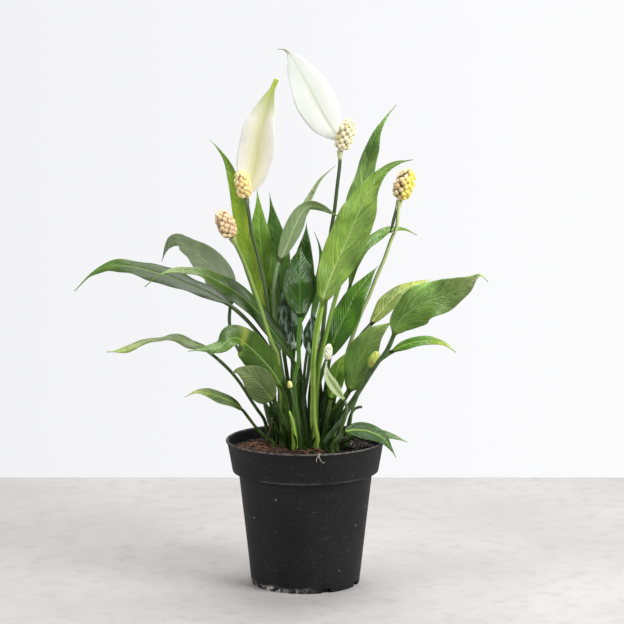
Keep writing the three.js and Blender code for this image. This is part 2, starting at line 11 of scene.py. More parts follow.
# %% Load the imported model
import math
import bpy
import numpy as np
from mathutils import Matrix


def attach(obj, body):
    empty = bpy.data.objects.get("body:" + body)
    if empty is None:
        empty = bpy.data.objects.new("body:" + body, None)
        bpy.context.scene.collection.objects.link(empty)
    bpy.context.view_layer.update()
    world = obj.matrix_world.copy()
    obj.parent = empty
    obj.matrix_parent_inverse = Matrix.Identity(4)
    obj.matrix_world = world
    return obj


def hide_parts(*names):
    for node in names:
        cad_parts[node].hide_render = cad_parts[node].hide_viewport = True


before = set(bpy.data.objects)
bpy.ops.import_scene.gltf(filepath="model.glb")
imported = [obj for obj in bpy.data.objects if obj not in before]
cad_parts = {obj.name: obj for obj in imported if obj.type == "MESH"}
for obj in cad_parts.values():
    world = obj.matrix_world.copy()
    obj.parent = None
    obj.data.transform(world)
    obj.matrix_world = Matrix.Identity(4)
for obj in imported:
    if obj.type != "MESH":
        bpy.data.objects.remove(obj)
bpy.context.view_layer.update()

# %% [markdown]
# ## Camera
#
# The photograph looks slightly down on the plant from about two metres away through a long lens, so the
# camera stands there too.

# %% Camera
CAMERA_PLACE, CAMERA_TILT, LENS = (0.00504, -2.0, 0.5135), 81.28, 155.8


def linked(name, data):
    """A new object that shows the data, put in the scene."""
    made = bpy.data.objects.new(name, data)
    bpy.context.collection.objects.link(made)
    return made


lens_data = bpy.data.cameras.new("camera")
lens_data.sensor_width = 36
lens_data.lens = LENS
camera = linked("camera", lens_data)
camera.location = CAMERA_PLACE
camera.rotation_euler = (math.radians(CAMERA_TILT), 0, 0)
bpy.context.scene.camera = camera
bpy.context.scene.view_settings.view_transform = "Standard"
print("camera looks down by", round(90 - CAMERA_TILT, 2), "degrees")

# %% [markdown]
# ## Small tools for nodes
#
# A material is a graph of nodes, and a formula in it is a chain of Math nodes. Such a chain is hard to
# read as a list of calls. So a small class stands for one output of a node, and a sign such as + or *
# on it adds the Math node. A few helpers add any other node, make a mask or mix two colours.

# %% Node helpers
class Wire:
    """One output of a node in a tree. The signs +, -, * and / and abs() on it each add a Math node."""

    def __init__(self, tree, socket):
        self.tree, self.socket = tree, socket

    def __add__(self, other):
        return maths("ADD", self, other)

    def __sub__(self, other):
        return maths("SUBTRACT", self, other)

    def __rsub__(self, other):
        return maths("SUBTRACT", other, self)

    def __mul__(self, other):
        return maths("MULTIPLY", self, other)

    def __truediv__(self, other):
        return maths("DIVIDE", self, other)

    def __abs__(self):
        return maths("ABSOLUTE", self)


def srgb(r, g, b):
    """Turns a colour of 0 to 255 as seen on screen into the linear light that shaders add up."""
    c = np.array([r, g, b]) / 255
    return (*np.where(c <= 0.04045, c / 12.92, ((c + 0.055) / 1.055) ** 2.4).tolist(), 1.0)


def put(value, socket):
    """Links a wire to an input, or sets the input. Three numbers on a colour input are a screen colour."""
    if isinstance(value, Wire):
        value.tree.links.new(value.socket, socket)
    elif value is not None:
        screen = socket.type == "RGBA" and len(value) == 3
        socket.default_value = srgb(*value) if screen else value


def add(tree, kind, *inputs, out=0, **settings):
    """Adds one node, sets its settings, and feeds its inputs in order. Returns one of its outputs."""
    node = tree.nodes.new("ShaderNode" + kind)
    for key, value in settings.items():
        setattr(node, key, value)
    for value, socket in zip(inputs, node.inputs):
        put(value, socket)
    return Wire(tree, node.outputs[out])


def tree_of(*values):
    """The tree of the first wire among the values."""
    return next(value.tree for value in values if isinstance(value, Wire))


def maths(operation, *inputs):
    """One sum on numbers, such as ADD or SINE."""
    return add(tree_of(*inputs), "Math", *inputs, operation=operation)


def mask(value, low, high):
    """A smooth step: 0 where the value is at low, 1 where it is at high."""
    return add(value.tree, "MapRange", value, low, high, 0.0, 1.0, interpolation_type="SMOOTHSTEP")


def mixed(share, a, b, blend="MIX"):
    """Mixes two colours: a where share is 0, b where it is 1."""
    made = add(tree_of(share, a, b), "Mix", share, out=2, data_type="RGBA", blend_type=blend)
    put(a, made.socket.node.inputs[6])
    put(b, made.socket.node.inputs[7])
    return made


def shaded(colour, by):
    """The colour times another, channel by channel."""
    return mixed(1.0, colour, by, "MULTIPLY")


def spot_of(tree):
    """The place on the object, in metres."""
    return add(tree, "TexCoord", out=3)


def field(tree, name):
    """The three numbers that the mesh carries at each point under that name."""
    return add(tree, "Attribute", out=1, attribute_name=name)


def split(wire):
    """The three numbers of a place or a field, each as a wire."""
    return [Wire(wire.tree, socket) for socket in add(wire.tree, "SeparateXYZ", wire).socket.node.outputs]


def noise(place, scale, detail, roughness):
    """A cloudy value from 0 to 1, with that many clouds to the unit of the place."""
    return add(place.tree, "TexNoise", place, None, scale, detail, roughness)


print("node helpers ready")

# %% [markdown]
# ## Light
#
# Behind the table is nothing but bright even white, a little greyer at the left. The world is that white
# where the camera sees it and weaker where it lights the plant, so that the lamps can give the leaves
# light and shade: a large soft one at the front right, one high at the back that shines on the upper
# faces, and a weak one at the left.

# %% World
world = bpy.data.worlds.new("studio")
bpy.context.scene.world = world
world.use_nodes = True
sky = world.node_tree
# The white that the camera sees goes from grey to nearly full across the picture, from left to right.
PICTURE_LEFT, PICTURE_WIDTH = -0.18, 0.34
WALL_LEFT, WALL_RIGHT = (0.868, 0.868, 0.9, 1), (0.995, 0.995, 1.0, 1)
to_right = (split(add(sky, "TexCoord"))[0] - PICTURE_LEFT) / PICTURE_WIDTH
seen = add(sky, "Background", mixed(to_right, WALL_LEFT, WALL_RIGHT))
lit = sky.nodes["Background"]
put((1.0, 1.0, 0.98, 1), lit.inputs["Color"])
put(0.25, lit.inputs["Strength"])
both = add(sky, "MixShader", add(sky, "LightPath"), Wire(sky, lit.outputs[0]), seen)
put(both, sky.nodes["World Output"].inputs[0])
print("world nodes:", len(sky.nodes))

# %% Lamps
LAMP_AIM = (0, 0, 0.2)
# Each lamp: place, width of its square face and watts.
LAMPS = {
    "key_lamp": ((1.1, -0.8, 1.4), 0.9, 42),
    "top_lamp": ((0.1, 0.6, 1.6), 1.1, 32),
    "left_lamp": ((-1.2, -0.6, 0.9), 0.8, 10),
}
for name, (place, size, watts) in LAMPS.items():
    data = bpy.data.lights.new(name, "AREA")
    data.size = size
    data.energy = watts
    lamp = linked(name, data)
    lamp.location = place
    x, y, z = np.array(place) - np.array(LAMP_AIM)
    lamp.rotation_euler = (math.atan2(math.hypot(x, y), z), 0, math.atan2(y, x) + math.pi / 2)
    print("lamp:", name, watts, "watts")

# %% [markdown]
# ## Groups and materials
#
# An effect that several materials share is a node group: it takes named colours and numbers, and gives
# colours, a roughness and a height back. The shader itself stays in the material. A thin blade also lets
# light through, so its shader is mixed with a Translucent one.

# %% Group and material helpers
def new_group(name, colours, numbers):
    """Starts a node group whose inputs have the names in the two lists. Returns its tree and its inputs."""
    tree = bpy.data.node_groups.new(name, "ShaderNodeTree")
    for labels, kind in ((colours, "NodeSocketColor"), (numbers, "NodeSocketFloat")):
        for label in labels.split():
            tree.interface.new_socket(label, in_out="INPUT", socket_type=kind)
    start = tree.nodes.new("NodeGroupInput")
    return tree, {socket.name: Wire(tree, socket) for socket in start.outputs if socket.name}


def end_group(tree, **given_back):
    """Ends a group with the named outputs: a number for Roughness and Height, otherwise a colour."""
    for label in given_back:
        kind = "NodeSocketFloat" if label in ("Roughness", "Height") else "NodeSocketColor"
        tree.interface.new_socket(label, in_out="OUTPUT", socket_type=kind)
    end = tree.nodes.new("NodeGroupOutput")
    for label, wire in given_back.items():
        put(wire, end.inputs[label])
    print("group", tree.name, "has", len(tree.nodes), "nodes")


def placed(tree, group, values):
    """Puts a group in a material with its own values, and returns its outputs by name."""
    node = tree.nodes.new("ShaderNodeGroup")
    node.node_tree = group
    for label, value in values.items():
        put(value, node.inputs[label])
    return {socket.name: Wire(tree, socket) for socket in node.outputs}


def new_material(name):
    """A material: itself, its tree and the inputs of its shader."""
    made = bpy.data.materials.new(name)
    made.use_nodes = True
    return made, made.node_tree, made.node_tree.nodes["Principled BSDF"].inputs


def dress(skin, colour, roughness, height=None, strength=0.3, depth=0.001):
    """Feeds a shader with a colour, a roughness and, where there is a height, a relief of that depth."""
    put(colour, skin["Base Color"])
    put(roughness, skin["Roughness"])
    if height:
        bump = add(height.tree, "Bump", strength, depth)
        put(height, bump.socket.node.inputs["Height"])
        put(bump, skin["Normal"])


def let_through(tree, glow, share):
    """Mixes the shader with a share of one that lets light through in the colour of the glow."""
    glossy = Wire(tree, tree.nodes["Principled BSDF"].outputs[0])
    both = add(tree, "MixShader", share, glossy, add(tree, "BsdfTranslucent", glow))
    put(both, tree.nodes["Material Output"].inputs["Surface"])


print("group and material helpers ready")

# %% [markdown]
# ## Table top
#
# The pot stands on a pale grey stone-like top with faint clouds, whose far edge is a straight line behind
# it. The top isn't part of the plant. One flat sheet is enough, and two noises give the clouds.

# %% Table top
TABLE_HALF, TABLE_FRONT, TABLE_BACK = 1.4, -1.5, 0.37
mesh = bpy.data.meshes.new("table_top")
mesh.from_pydata([(-TABLE_HALF, TABLE_FRONT, 0), (TABLE_HALF, TABLE_FRONT, 0), (TABLE_HALF, TABLE_BACK, 0),
                  (-TABLE_HALF, TABLE_BACK, 0)], [], [(0, 1, 2, 3)])
top = linked("table_top", mesh)
stone, tree, skin = new_material("pale_stone")
spot = spot_of(tree)
pale = mixed(mask(noise(spot, 7.0, 4.0, 0.6), 0.3, 0.7), (163, 160, 159), (173, 170, 169))
dress(skin, mixed(mask(noise(spot, 60.0, 6.0, 0.7), 0.45, 0.75), pale, (156, 153, 153)), 0.6)
mesh.materials.append(stone)
print("stage:", top.name)

# %% [markdown]
# ## From numbers to a piece
#
# Every piece of the plant is a stack of rings. A leaf's ring runs over its upper face and back under its
# lower face, a stem's ring is round, and a pot's ring runs round the axis. So one helper joins the rings
# of any piece, closes both ends, makes sure that the faces look outwards, and puts the arrays into a mesh.

# %% Piece helpers
def closed_rings(rows, sides, inward=False):
    """Quads between neighbouring rings, where point j of ring i has the number i times sides plus j, and
    quads that close the two end rings. Rings that run the other way round need their ends turned in."""
    i, j = np.meshgrid(np.arange(rows - 1), np.arange(sides), indexing="ij")
    k = (j + 1) % sides
    wall = np.stack([i * sides + j, (i + 1) * sides + j, (i + 1) * sides + k, i * sides + k], -1)
    j = np.arange(sides // 2 - 1)
    lid = np.stack([j, j + 1, sides - 2 - j, sides - 1 - j], -1)
    first, last = (lid[:, ::-1], lid) if inward else (lid, lid[:, ::-1])
    return np.concatenate([wall.reshape(-1, 4), first, last + (rows - 1) * sides])


def outward(points, faces):
    """Turns all the faces round if the volume that they enclose, summed corner by corner, is negative."""
    first, *others = points[faces.T]
    volume = sum(np.sum(first * np.cross(b, c)) for b, c in zip(others, others[1:]))
    return faces[:, ::-1] if volume < 0 else faces


def piece(name, points, faces, material, slot, nodes=(), **fields):
    """Makes one smooth-shaded object of points in millimetres, which stands for the named solids."""
    points = points.reshape(-1, 3)
    faces = outward(points, faces)
    mesh = bpy.data.meshes.new(name)
    mesh.vertices.add(len(points))
    mesh.vertices.foreach_set("co", (points * 0.001).astype(np.float32).ravel())
    mesh.loops.add(faces.size)
    mesh.loops.foreach_set("vertex_index", faces.astype(np.int32).ravel())
    mesh.polygons.add(len(faces))
    mesh.polygons.foreach_set("loop_start", np.arange(0, faces.size, faces.shape[1], dtype=np.int32))
    mesh.polygons.foreach_set("use_smooth", np.ones(len(faces), dtype=bool))
    mesh.update(calc_edges=True)
    for label, values in fields.items():
        carried = mesh.attributes.new(label, "FLOAT_VECTOR", "POINT")
        carried.data.foreach_set("vector", values.astype(np.float32).ravel())
    mesh.materials.append(material)
    made = linked(name, mesh)
    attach(made, "root")
    if nodes:
        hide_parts(*nodes)
    return made


def joined(*values):
    """Spreads three arrays over the whole grid and lays them side by side as a field or as places."""
    return np.stack(np.broadcast_arrays(*values), -1)


print("piece helpers ready")

# %% [markdown]
# ## Lines that bend
#
# A petiole and its blade bend as one smooth line. The tables give a few points on each line, and a
# Catmull-Rom cubic passes through them all. It is worked out for all the stretches at once.

# %% Line helpers
STRETCH = 60
BURIED, PEAT_TOP = (88, 106), 109.5


def smooth(t):
    """Eases from 0 to 1: three t squared less two t cubed, and level outside that range."""
    s = np.clip(t, 0, 1)
    return s * s * (3 - 2 * s)


def hump(x, width):
    """A bell curve of height 1 round 0: it falls to a third at the width."""
    return np.exp(-((x / width) ** 2))


def bent_line(points):
    """A cubic between each two points, whose slopes come from the neighbours. The square root of the
    distance between two points is the pace there, which keeps tight bends from overshooting."""
    p = np.array(points, dtype=float)
    p = np.vstack([2 * p[0] - p[1], p, 2 * p[-1] - p[-2]])
    pace = np.sum(np.diff(p, axis=0) ** 2, axis=1)[:, None] ** 0.25
    x0, x1, x2, x3 = p[:-3], p[1:-2], p[2:-1], p[3:]
    d0, d1, d2 = pace[:-2], pace[1:-1], pace[2:]
    a = ((x1 - x0) / d0 - (x2 - x0) / (d0 + d1) + (x2 - x1) / d1) * d1
    b = ((x2 - x1) / d1 - (x3 - x1) / (d1 + d2) + (x3 - x2) / d2) * d1
    t = np.linspace(0, 1, STRETCH, endpoint=False)[None, :, None]
    square, cube = 3 * (x2 - x1) - 2 * a - b, 2 * (x1 - x2) + a + b
    line = x1[:, None] + a[:, None] * t + square[:, None] * t**2 + cube[:, None] * t**3
    return np.vstack([line.reshape(-1, 3), p[-2]])


def lengths_of(line):
    """The length of the line up to each of its points."""
    return np.r_[0, np.cumsum(np.linalg.norm(np.diff(line, axis=0), axis=1))]


def side_and_face(along):
    """For a direction: the side across it that is level from the front, and the face square to both."""
    side = np.cross(along, [0.0, 1.0, 0.0])
    side /= np.linalg.norm(side, axis=-1, keepdims=True)
    return side, np.cross(along, side)


def axes_at(line, at, roll):
    """At each length: the centre, the side direction turned about the line by the roll in degrees, and
    the face direction square to both. A roll of 0 lays the side level across the front view."""
    length = lengths_of(line)
    slope = np.gradient(line, length, axis=0)
    centre, along = (np.stack([np.interp(at, length, v[:, k]) for k in range(3)], -1) for v in (line, slope))
    along /= np.linalg.norm(along, axis=1, keepdims=True)
    side, face = side_and_face(along)
    turn = np.radians(roll)[:, None]
    side = side * np.cos(turn) + face * np.sin(turn)
    return centre, side, np.cross(along, side)


def around_line(centre, side, face, u, v):
    """The places that lie u along the side and v along the face from each centre."""
    return centre[:, None] + side[:, None] * u[..., None] + face[:, None] * v[..., None]


def rooted(foot, path):
    """The line of a stem: straight up out of the peat, then along its path."""
    return [[*foot, BURIED[0]], [*foot, BURIED[1]], [*foot, PEAT_TOP], *path]


print("a line of 3 points has", len(bent_line([[0, 0, 0], [1, 0, 5], [3, 0, 9]])), "places")

# %% [markdown]
# ## The leaves
#
# Each leaf is a petiole, which is its stalk, and a blade. The petiole rises from the crown, thickens
# a little and widens into a lance-shaped blade with a long drawn-out tip. Each row gives the tone, the
# foot, the petiole's radius, the line above the peat, the point where the blade starts, the blade's
# width, how it rolls from its foot to its tip, and how far its halves fold up from the midrib.

# %% Leaf table
LEAVES = [
    ["tall_left_leaf", "fresh", [-17, 9.5], 1.4,
     [[-19, 12, 149], [-25, 14, 176], [-30, 12, 198], [-36, 10, 222], [-42, 9, 247], [-47, 8, 272],
      [-51, 8, 294], [-58, 12, 317], [-66, 15, 329], [-72, 17, 335]],
     2, 17, [-35, -38, -28, -10], 0.25],
    ["light_leaf_behind_stem", "fresh", [-14.5, 16], 1.3,
     [[-22, 18, 159], [-25, 18, 190], [-28, 17, 217], [-32, 15, 242], [-34, 13, 261], [-35, 12, 281],
      [-36, 12, 298]],
     2, 19, [30, 30, 30], 0.2],
    ["dark_upright_leaf", "dark", [-10.5, 10.5], 1.4,
     [[-13, 13, 149], [-17, 17.5, 179], [-20, 21, 213], [-21.5, 21.5, 242], [-22.5, 21, 262], [-25, 21, 280],
      [-27, 22, 294]],
     1, 27, [-25, -28, -28], 0.25],
    ["grey_leaf_bending_right", "grey", [-7, 1], 1.5,
     [[-17, 3, 158], [-21, 3, 185], [-23, 2, 208], [-23, -1, 231], [-20, -3, 245], [-14, -5, 258],
      [-8, -6, 272], [-2, -5, 283], [4, -3, 287], [12, 1, 285], [21, 4, 280], [27, 6, 277]],
     4, 16, [205, 210, 225, 230], 0.3],
    ["thin_tipped_leaf", "grey", [-4.5, 12.5], 1.2,
     [[-7, 11, 142], [-11, 9, 176], [-15, 8, 205], [-20, 6, 228], [-19, 4, 243], [-11, 7, 262],
      [-5, 8, 275], [0, 9, 286], [5.5, 10, 296], [11, 10, 305], [17, 10, 311], [23, 9, 316]],
     4, 6, [10, 20, 20], 0.3],
    ["wide_centre_leaf", "dark", [-4.5, -7], 1.6,
     [[-8, -9, 141], [-8, -12, 160], [-5, -12, 171], [-5, -12, 187], [-4, -11, 204], [-4, -9, 218],
      [-4, -6, 231], [-4, -1, 240], [-4, 4, 246], [-3.5, 9, 251], [-3, 14, 255]],
     4, 26, [12, 12, 12], 0.15],
    ["leaf_behind_centre", "dark", [-6, 18.5], 1.4,
     [[-10, 22, 151], [-7, 26, 189], [-4, 29, 215], [-2, 30, 236], [0, 32, 255], [1, 36, 270]],
     1, 21, [-20, -20, -20], 0.2],
    ["thin_dark_tip", "dark", [1.5, 18], 1.1,
     [[-1, 24, 151], [4, 32, 188], [9, 36, 218], [12, 38, 242], [10, 39, 254], [7, 40, 262]],
     1, 8, [40, 40, 40], 0.3],
    ["big_bright_leaf", "fresh", [8.5, -12], 2.1,
     [[6, -13, 127], [6, -14, 146], [6, -14, 167], [7, -14, 182], [9, -14, 197], [12, -13, 212],
      [16, -12, 227], [22.5, -11, 243], [31, -10, 262], [39, -9, 281], [48, -9, 300], [57, -11, 313],
      [68, -14, 320], [79, -17, 323]],
     5, 31, [-15, -22, -25, -50, -60], 0.22],
    ["dark_tall_leaf", "dark", [7, -4.5], 1.6,
     [[7, -5, 125], [8, -5, 145], [10, -5, 164], [13, -4, 179],
      [16.5, -3, 194], [20, -1, 208], [27.5, 6, 234],
      [34, 15, 263], [41, 25, 292], [47, 34, 314], [53, 42, 334], [60, 48, 347], [69, 54, 358]],
     6, 23, [-30, -40, -50, -50], 0.25],
    ["thin_arching_leaf", "mid", [11, 16], 1.2,
     [[14, 22, 136], [20, 31, 173], [27, 37, 199], [33, 42, 217], [38, 48, 236], [45, 55, 248], [55, 65, 256],
      [65, 76, 260], [76, 86, 259], [87, 96, 253]],
     3, 12.5, [-50, -60, -62], 0.2],
    ["far_left_leaf", "mid", [-22, 1], 1.5,
     [[-23, -1, 140], [-25, -2, 163], [-27, -2, 178], [-34, -1, 189], [-44, 4, 200], [-55, 10, 209],
      [-70, 18, 217], [-89, 28, 224], [-111, 41, 230], [-135, 54, 234], [-152, 64, 233], [-166, 72, 225],
      [-180, 80, 211]],
     5, 23, [60, 63, 65, 65], 0.2],
    ["upper_left_leaf", "grey", [-24, 12], 1.2,
     [[-28, 14, 122], [-33, 20, 140], [-41, 25, 158], [-50, 30, 171], [-56, 33, 183], [-58, 35, 194],
      [-57.5, 36, 204], [-57, 38, 212], [-60, 44, 221], [-70, 52, 233], [-81, 61, 241],
      [-92, 69, 248], [-101, 75, 251], [-107, 79, 246], [-112, 82, 234]],
     6, 31, [150, 146, 138, 125], 0.15],
    ["long_left_leaf", "dark", [0, -1], 1.5,
     [[-5, -3, 140], [-5, -5, 156], [-8, -5, 168], [-14, -5, 179], [-23, -5, 191], [-32, -6, 204],
      [-43, -9, 216], [-54, -12, 225], [-68, -17, 234], [-79, -22, 240], [-89, -27, 242], [-103, -31, 241],
      [-112, -34, 236], [-118, -36, 231]],
     2, 18, [42, 46, 50, 66, 74], 0.25],
    ["twisted_left_leaf", "mid", [-28, 6], 1.2,
     [[-31, 3, 124], [-36, 1, 132], [-41, -1, 140], [-45, -3, 147], [-50, -5, 155], [-57, -7, 164],
      [-66, -9, 173], [-75, -11, 181], [-86, -15, 186], [-99, -20, 190], [-112, -26, 190], [-123, -33, 188],
      [-135, -39, 184], [-146, -45, 184]],
     6, 15, [60, 72, 88, 62, 52], 0.2],
    ["folded_over_leaf", "mid", [-11, -4], 1.6,
     [[-13, -7, 127], [-15, -12, 141], [-17, -17, 151], [-23, -23, 164], [-32, -29, 176], [-42, -36, 187],
      [-50, -42, 194], [-55, -49, 194], [-61, -55, 190], [-71, -60, 189], [-85, -65, 188]],
     2, 27, [35, 40, 45, 60, 65], 0.15],
    ["grey_dark_leaf", "dark", [-14.5, -11], 1.5,
     [[-15, -16, 121], [-19, -23, 134], [-23, -31, 145], [-28, -40, 153], [-35, -46, 162], [-43, -51, 169],
      [-50, -54, 171.5], [-54, -55, 169]],
     2, 24, [25, 22, 20], 0.15],
    ["low_left_leaf", "fresh", [-24, -13], 1.05,
     [[-29, -17, 114], [-35, -22, 121], [-41, -28, 130], [-46, -34, 138], [-52, -41, 145], [-62, -50, 151],
      [-72, -59, 156], [-80, -67, 158], [-87, -74, 156]],
     3, 11.5, [55, 60, 60], 0.2],
    ["dark_leaf_right_of_centre", "mid", [7.5, 4], 1.6,
     [[8, 6, 131], [10, 8, 150], [16, 11, 168], [23, 15, 186], [31, 20, 202], [39, 26, 217], [48, 33, 228],
      [55, 40, 236]],
     2, 24.5, [-30, -38, -40], 0.2],
    ["yellow_green_leaf", "yellow", [20, 5], 1.6,
     [[19, 8, 131], [22, 11, 149], [29, 15, 166], [38, 21, 180], [49, 28, 192], [57, 35, 201], [65, 43, 209],
      [74, 53, 215], [85, 64, 219], [97, 75, 221]],
     4, 20, [-50, -58, -60], 0.2],
    ["big_right_leaf", "mid", [14.5, -15], 1.6,
     [[21, -14, 119], [28, -13, 128], [37, -13, 143], [46, -14, 158], [54, -16, 171], [61, -18, 181],
      [65, -22, 191], [69, -28, 203], [76, -36, 212], [87, -47, 221], [101, -60, 228], [114, -72, 236],
      [126, -82, 246], [131, -86, 242]],
     6, 31, [-28, -36, -40, -45], 0.18],
    ["bright_right_leaf", "fresh", [20, -4], 1.6,
     [[26, 3, 124], [37, 8, 140], [47, 11, 156], [56, 12, 168], [64, 11, 174], [73, 7, 180], [83, 1, 184],
      [93, -6, 186], [103, -14, 185], [112, -22, 180]],
     4, 12.5, [-55, -63, -65], 0.2],
    ["broad_green_leaf", "mid", [14, 1], 1.7,
     [[17, 0, 124], [25, -3, 136], [32, -4, 146], [37, -3, 156], [40, -1, 167], [45, 0, 179], [51, 0, 188],
      [59, 0, 195], [66, 0, 200]],
     2, 25, [10, 15, 15], 0.15],
    ["leaf_over_the_rim", "fresh", [20, -23], 1.3,
     [[24, -25, 114.5], [28, -25, 119.5], [35, -24, 121.5], [43, -22, 121], [51, -20.5, 118.5],
      [59, -20, 113.5], [64, -21, 107], [68, -22, 100]],
     1, 15, [-40, -50, -50], 0.2],
    ["narrow_leaf_over_rim", "mid", [28, -9], 1.2,
     [[32, -11, 111.5], [38, -11, 114.5], [45, -10, 116.5], [53, -8, 116.5], [61, -6, 114.5], [69, -4, 111.5],
      [77, -3, 108]],
     1, 8, [-50, -55, -55], 0.2],
    ["small_bright_leaf", "fresh", [13.5, -6], 1.2,
     [[16, -8, 126], [19, -8, 141], [22, -7, 153], [24, -6, 164], [27, -5, 171], [31, -4, 177]],
     1, 13, [0, 0, 0], 0.25],
    ["puckered_leaf", "grey", [2.5, -9], 1.3,
     [[-1, -8, 137], [-2, -6, 152], [-4, -2, 164], [-5, 0, 176], [-7, 1, 184], [-10, 2, 195], [-13, 2, 208],
      [-15, 1, 221], [-16, 1, 231]],
     3, 17.5, [15, 15, 15], 0.15],
    ["puckered_narrow_leaf", "grey", [-2, 6], 1.3,
     [[-1, 6, 139], [2, 5.5, 158], [3.5, 5.5, 173], [4.5, 5.5, 185], [5.5, 6, 195], [6, 7.5, 207]],
     2, 13.5, [0, 0, 0], 0.2],
]
print("leaves:", len(LEAVES))

# %% [markdown]
# ## The leaf as a surface
#
# A leaf is one grid. One parameter runs from the foot to the tip, the other across the upper face from
# edge to edge and back across the lower face. The ring is round on the petiole and eases into a thin
# folded strip on the blade. Fine form is added by formula: a channel along the midrib above, a keel
# below, thin edges, a light wave of the margin, and a small swelling where the petiole meets the blade.
# The grid also carries what the finish needs: share across, share along, which face, and millimetres.

# %% Leaf surface
BLADE_CURL = 0.22
BLADE_THICKNESS = 0.5


def blade_breadth(t):
    """Half-breadth of a lance shape: a sine of t to the power 0.8, made slimmer towards the tip."""
    return np.maximum(np.sin(np.pi * t**0.8), 0) ** (0.9 + 0.5 * t)


def strip_surface(line, start, radius, width, rolls, fold, wave=0.5, seed=0, half_columns=15, step=1.6,
                  tip=0.15, keel=1.0, sheath=0.0, taper=0.0):
    """Rings of a petiole that widens into a blade. Width is the sine above; height across the blade is
    fold times the share out, less a curl that grows with its square, plus rib, keel and margin wave. The
    sheath makes the foot of the petiole wider and thinner, most of all 34 mm up from its buried end, and
    the taper draws the last fifth of the blade out into a narrow point."""
    whole = lengths_of(line)[-1]
    rows = np.r_[np.arange(0, start, 3.0), np.linspace(start, whole, int((whole - start) / step) + 8)]
    from_start = (rows - start)[:, None]
    t = np.clip(from_start / (whole - start), 0, 1)
    frames = axes_at(line, rows, np.interp(t[:, 0], np.linspace(0, 1, len(rolls)), rolls))
    share = np.linspace(-1, 1, 2 * half_columns + 1)
    share = np.sign(share) * np.abs(share) ** 1.35
    across = np.r_[share, share[::-1]][None, :]
    upper = np.r_[np.ones(len(share)), -np.ones(len(share))][None, :]

    half = np.maximum(width / 2 * blade_breadth(t) * (1 - taper * smooth((t - 0.8) / 0.12)), tip)
    flat = smooth(t / 0.08)
    swell = radius * (1 + 0.10 * hump(from_start + 7, 5)) * (1 + 0.25 * hump(rows[:, None] - 18, 14))
    angle = np.pi / 2 * (1 - across * (1 - 0.5 / half_columns)) * upper
    x = across * np.maximum(half, swell * (1 - flat))

    beat = np.random.default_rng(seed).uniform(0, 6.28, 4)
    ripple = np.sin(from_start / 7.5 + beat[0] + 1.6 * np.sign(across))
    ripple = ripple + 0.6 * np.sin(from_start / 4.1 + beat[1] + 2.5 * np.sign(across))
    edge_wave = wave * ripple * np.abs(across) ** 3 * smooth(t * 4) * smooth((1 - t) * 5)
    soft = np.sqrt(across**2 + 0.006) - 0.0775
    lift = half * (fold * soft - BLADE_CURL * across**2) + edge_wave
    ease = 1 - smooth(t * 1.05)
    channel = 0.45 * (0.25 + ease) * hump(x, 0.5 + 0.5 * ease)
    rib = keel * (0.25 + (radius * 1.5 - 0.25) * (1 - smooth(t * 2.2)))
    thick = BLADE_THICKNESS / 2 * (1 - 0.75 * np.abs(across) ** 6)
    height = lift + np.where(upper > 0, thick - channel, -thick - rib * hump(x, 0.35 + 0.55 * rib))

    groove = 1 - 0.16 * hump(angle - np.pi / 2, 0.5) * smooth(rows / 40)[:, None]
    wing = sheath * hump(rows - 34, 22)[:, None]
    u = swell * (1 + wing) * np.cos(angle) * (1 - flat) + x * flat
    v = swell * (1 - 0.3 * wing) * np.sin(angle) * groove * (1 - flat) + height * flat
    points = around_line(*frames, u, v)
    fields = {"leaf": joined(across, t, (upper + 1) / 2), "leaf_mm": joined(x, from_start, np.float64(seed))}
    return points, closed_rings(*points.shape[:2]), fields


def blade_start(line, place):
    """The length along the line at one of the points that it was made from."""
    return lengths_of(line)[place * STRETCH]


print("half-breadth at a third of a blade:", round(float(blade_breadth(np.array(1 / 3))), 3))

# %% [markdown]
# ## The finish of a leaf
#
# The upper face is glossy and deep green, the lower face matt and greyer. Side veins leave the midrib
# at a slant and bend towards the tip; the blade is quilted a little between them. Old leaves are darker,
# young ones and their tips more yellow. One node group works all this out from the grid's own fields,
# so the veins follow every bend of the leaf. Light also passes through a leaf and comes out yellower.

# %% Leaf colour group
VEIN_GAP = 4.2
leaf_group, given = new_group("leaf_blade", "top tip under rib petiole foot patch",
                              "patch_place patch_length patch_share gloss margin")
across, along, upper = split(field(leaf_group, "leaf"))
across_mm, along_mm, number = split(field(leaf_group, "leaf_mm"))
out_share, out_mm = abs(across), abs(across_mm)
spot = spot_of(leaf_group)
blur = noise(spot, 160.0, 3.0, 0.6)
cloud = noise(spot, 34.0, 4.0, 0.6)
swell = noise(spot, 30.0, 1.0, 0.5)

# The vein's phase: distance along, less a slant that grows with the distance out, over the vein gap.
slant = out_mm * 1.5 + out_mm * out_mm * 0.06
phase = (along_mm - slant) / VEIN_GAP + cloud * 1.6
main_wave = maths("SINE", phase * 6.283)
vein = mask(main_wave, 0.6, 1.0)

# Streaks run along the veins: a noise that changes slowly outwards and fast from vein to vein.
streak = noise(add(leaf_group, "CombineXYZ", phase * 1.3, across_mm * 0.14, number), 1.0, 3.0, 0.65)
# Painted light and shade: cloudy patches and the streaks multiply the colour by 0.6 to 1.42. This is partly
# the leaf's own mottle and partly painted shade and painted sheen along the veins.
mottle_and_painted_sheen = mixed(mask(cloud, 0.3, 0.72), (0.6, 0.66, 0.58, 1), (1.38, 1.28, 1.2, 1))
mottle_and_painted_sheen = shaded(mottle_and_painted_sheen, mixed(mask(streak, 0.28, 0.72), (0.66, 0.72, 0.62, 1), (1.42, 1.3, 1.26, 1)))

# The midrib narrows towards the tip.
rib = mask(out_mm / (1.05 - along * 0.85), 1.25, 0.45)

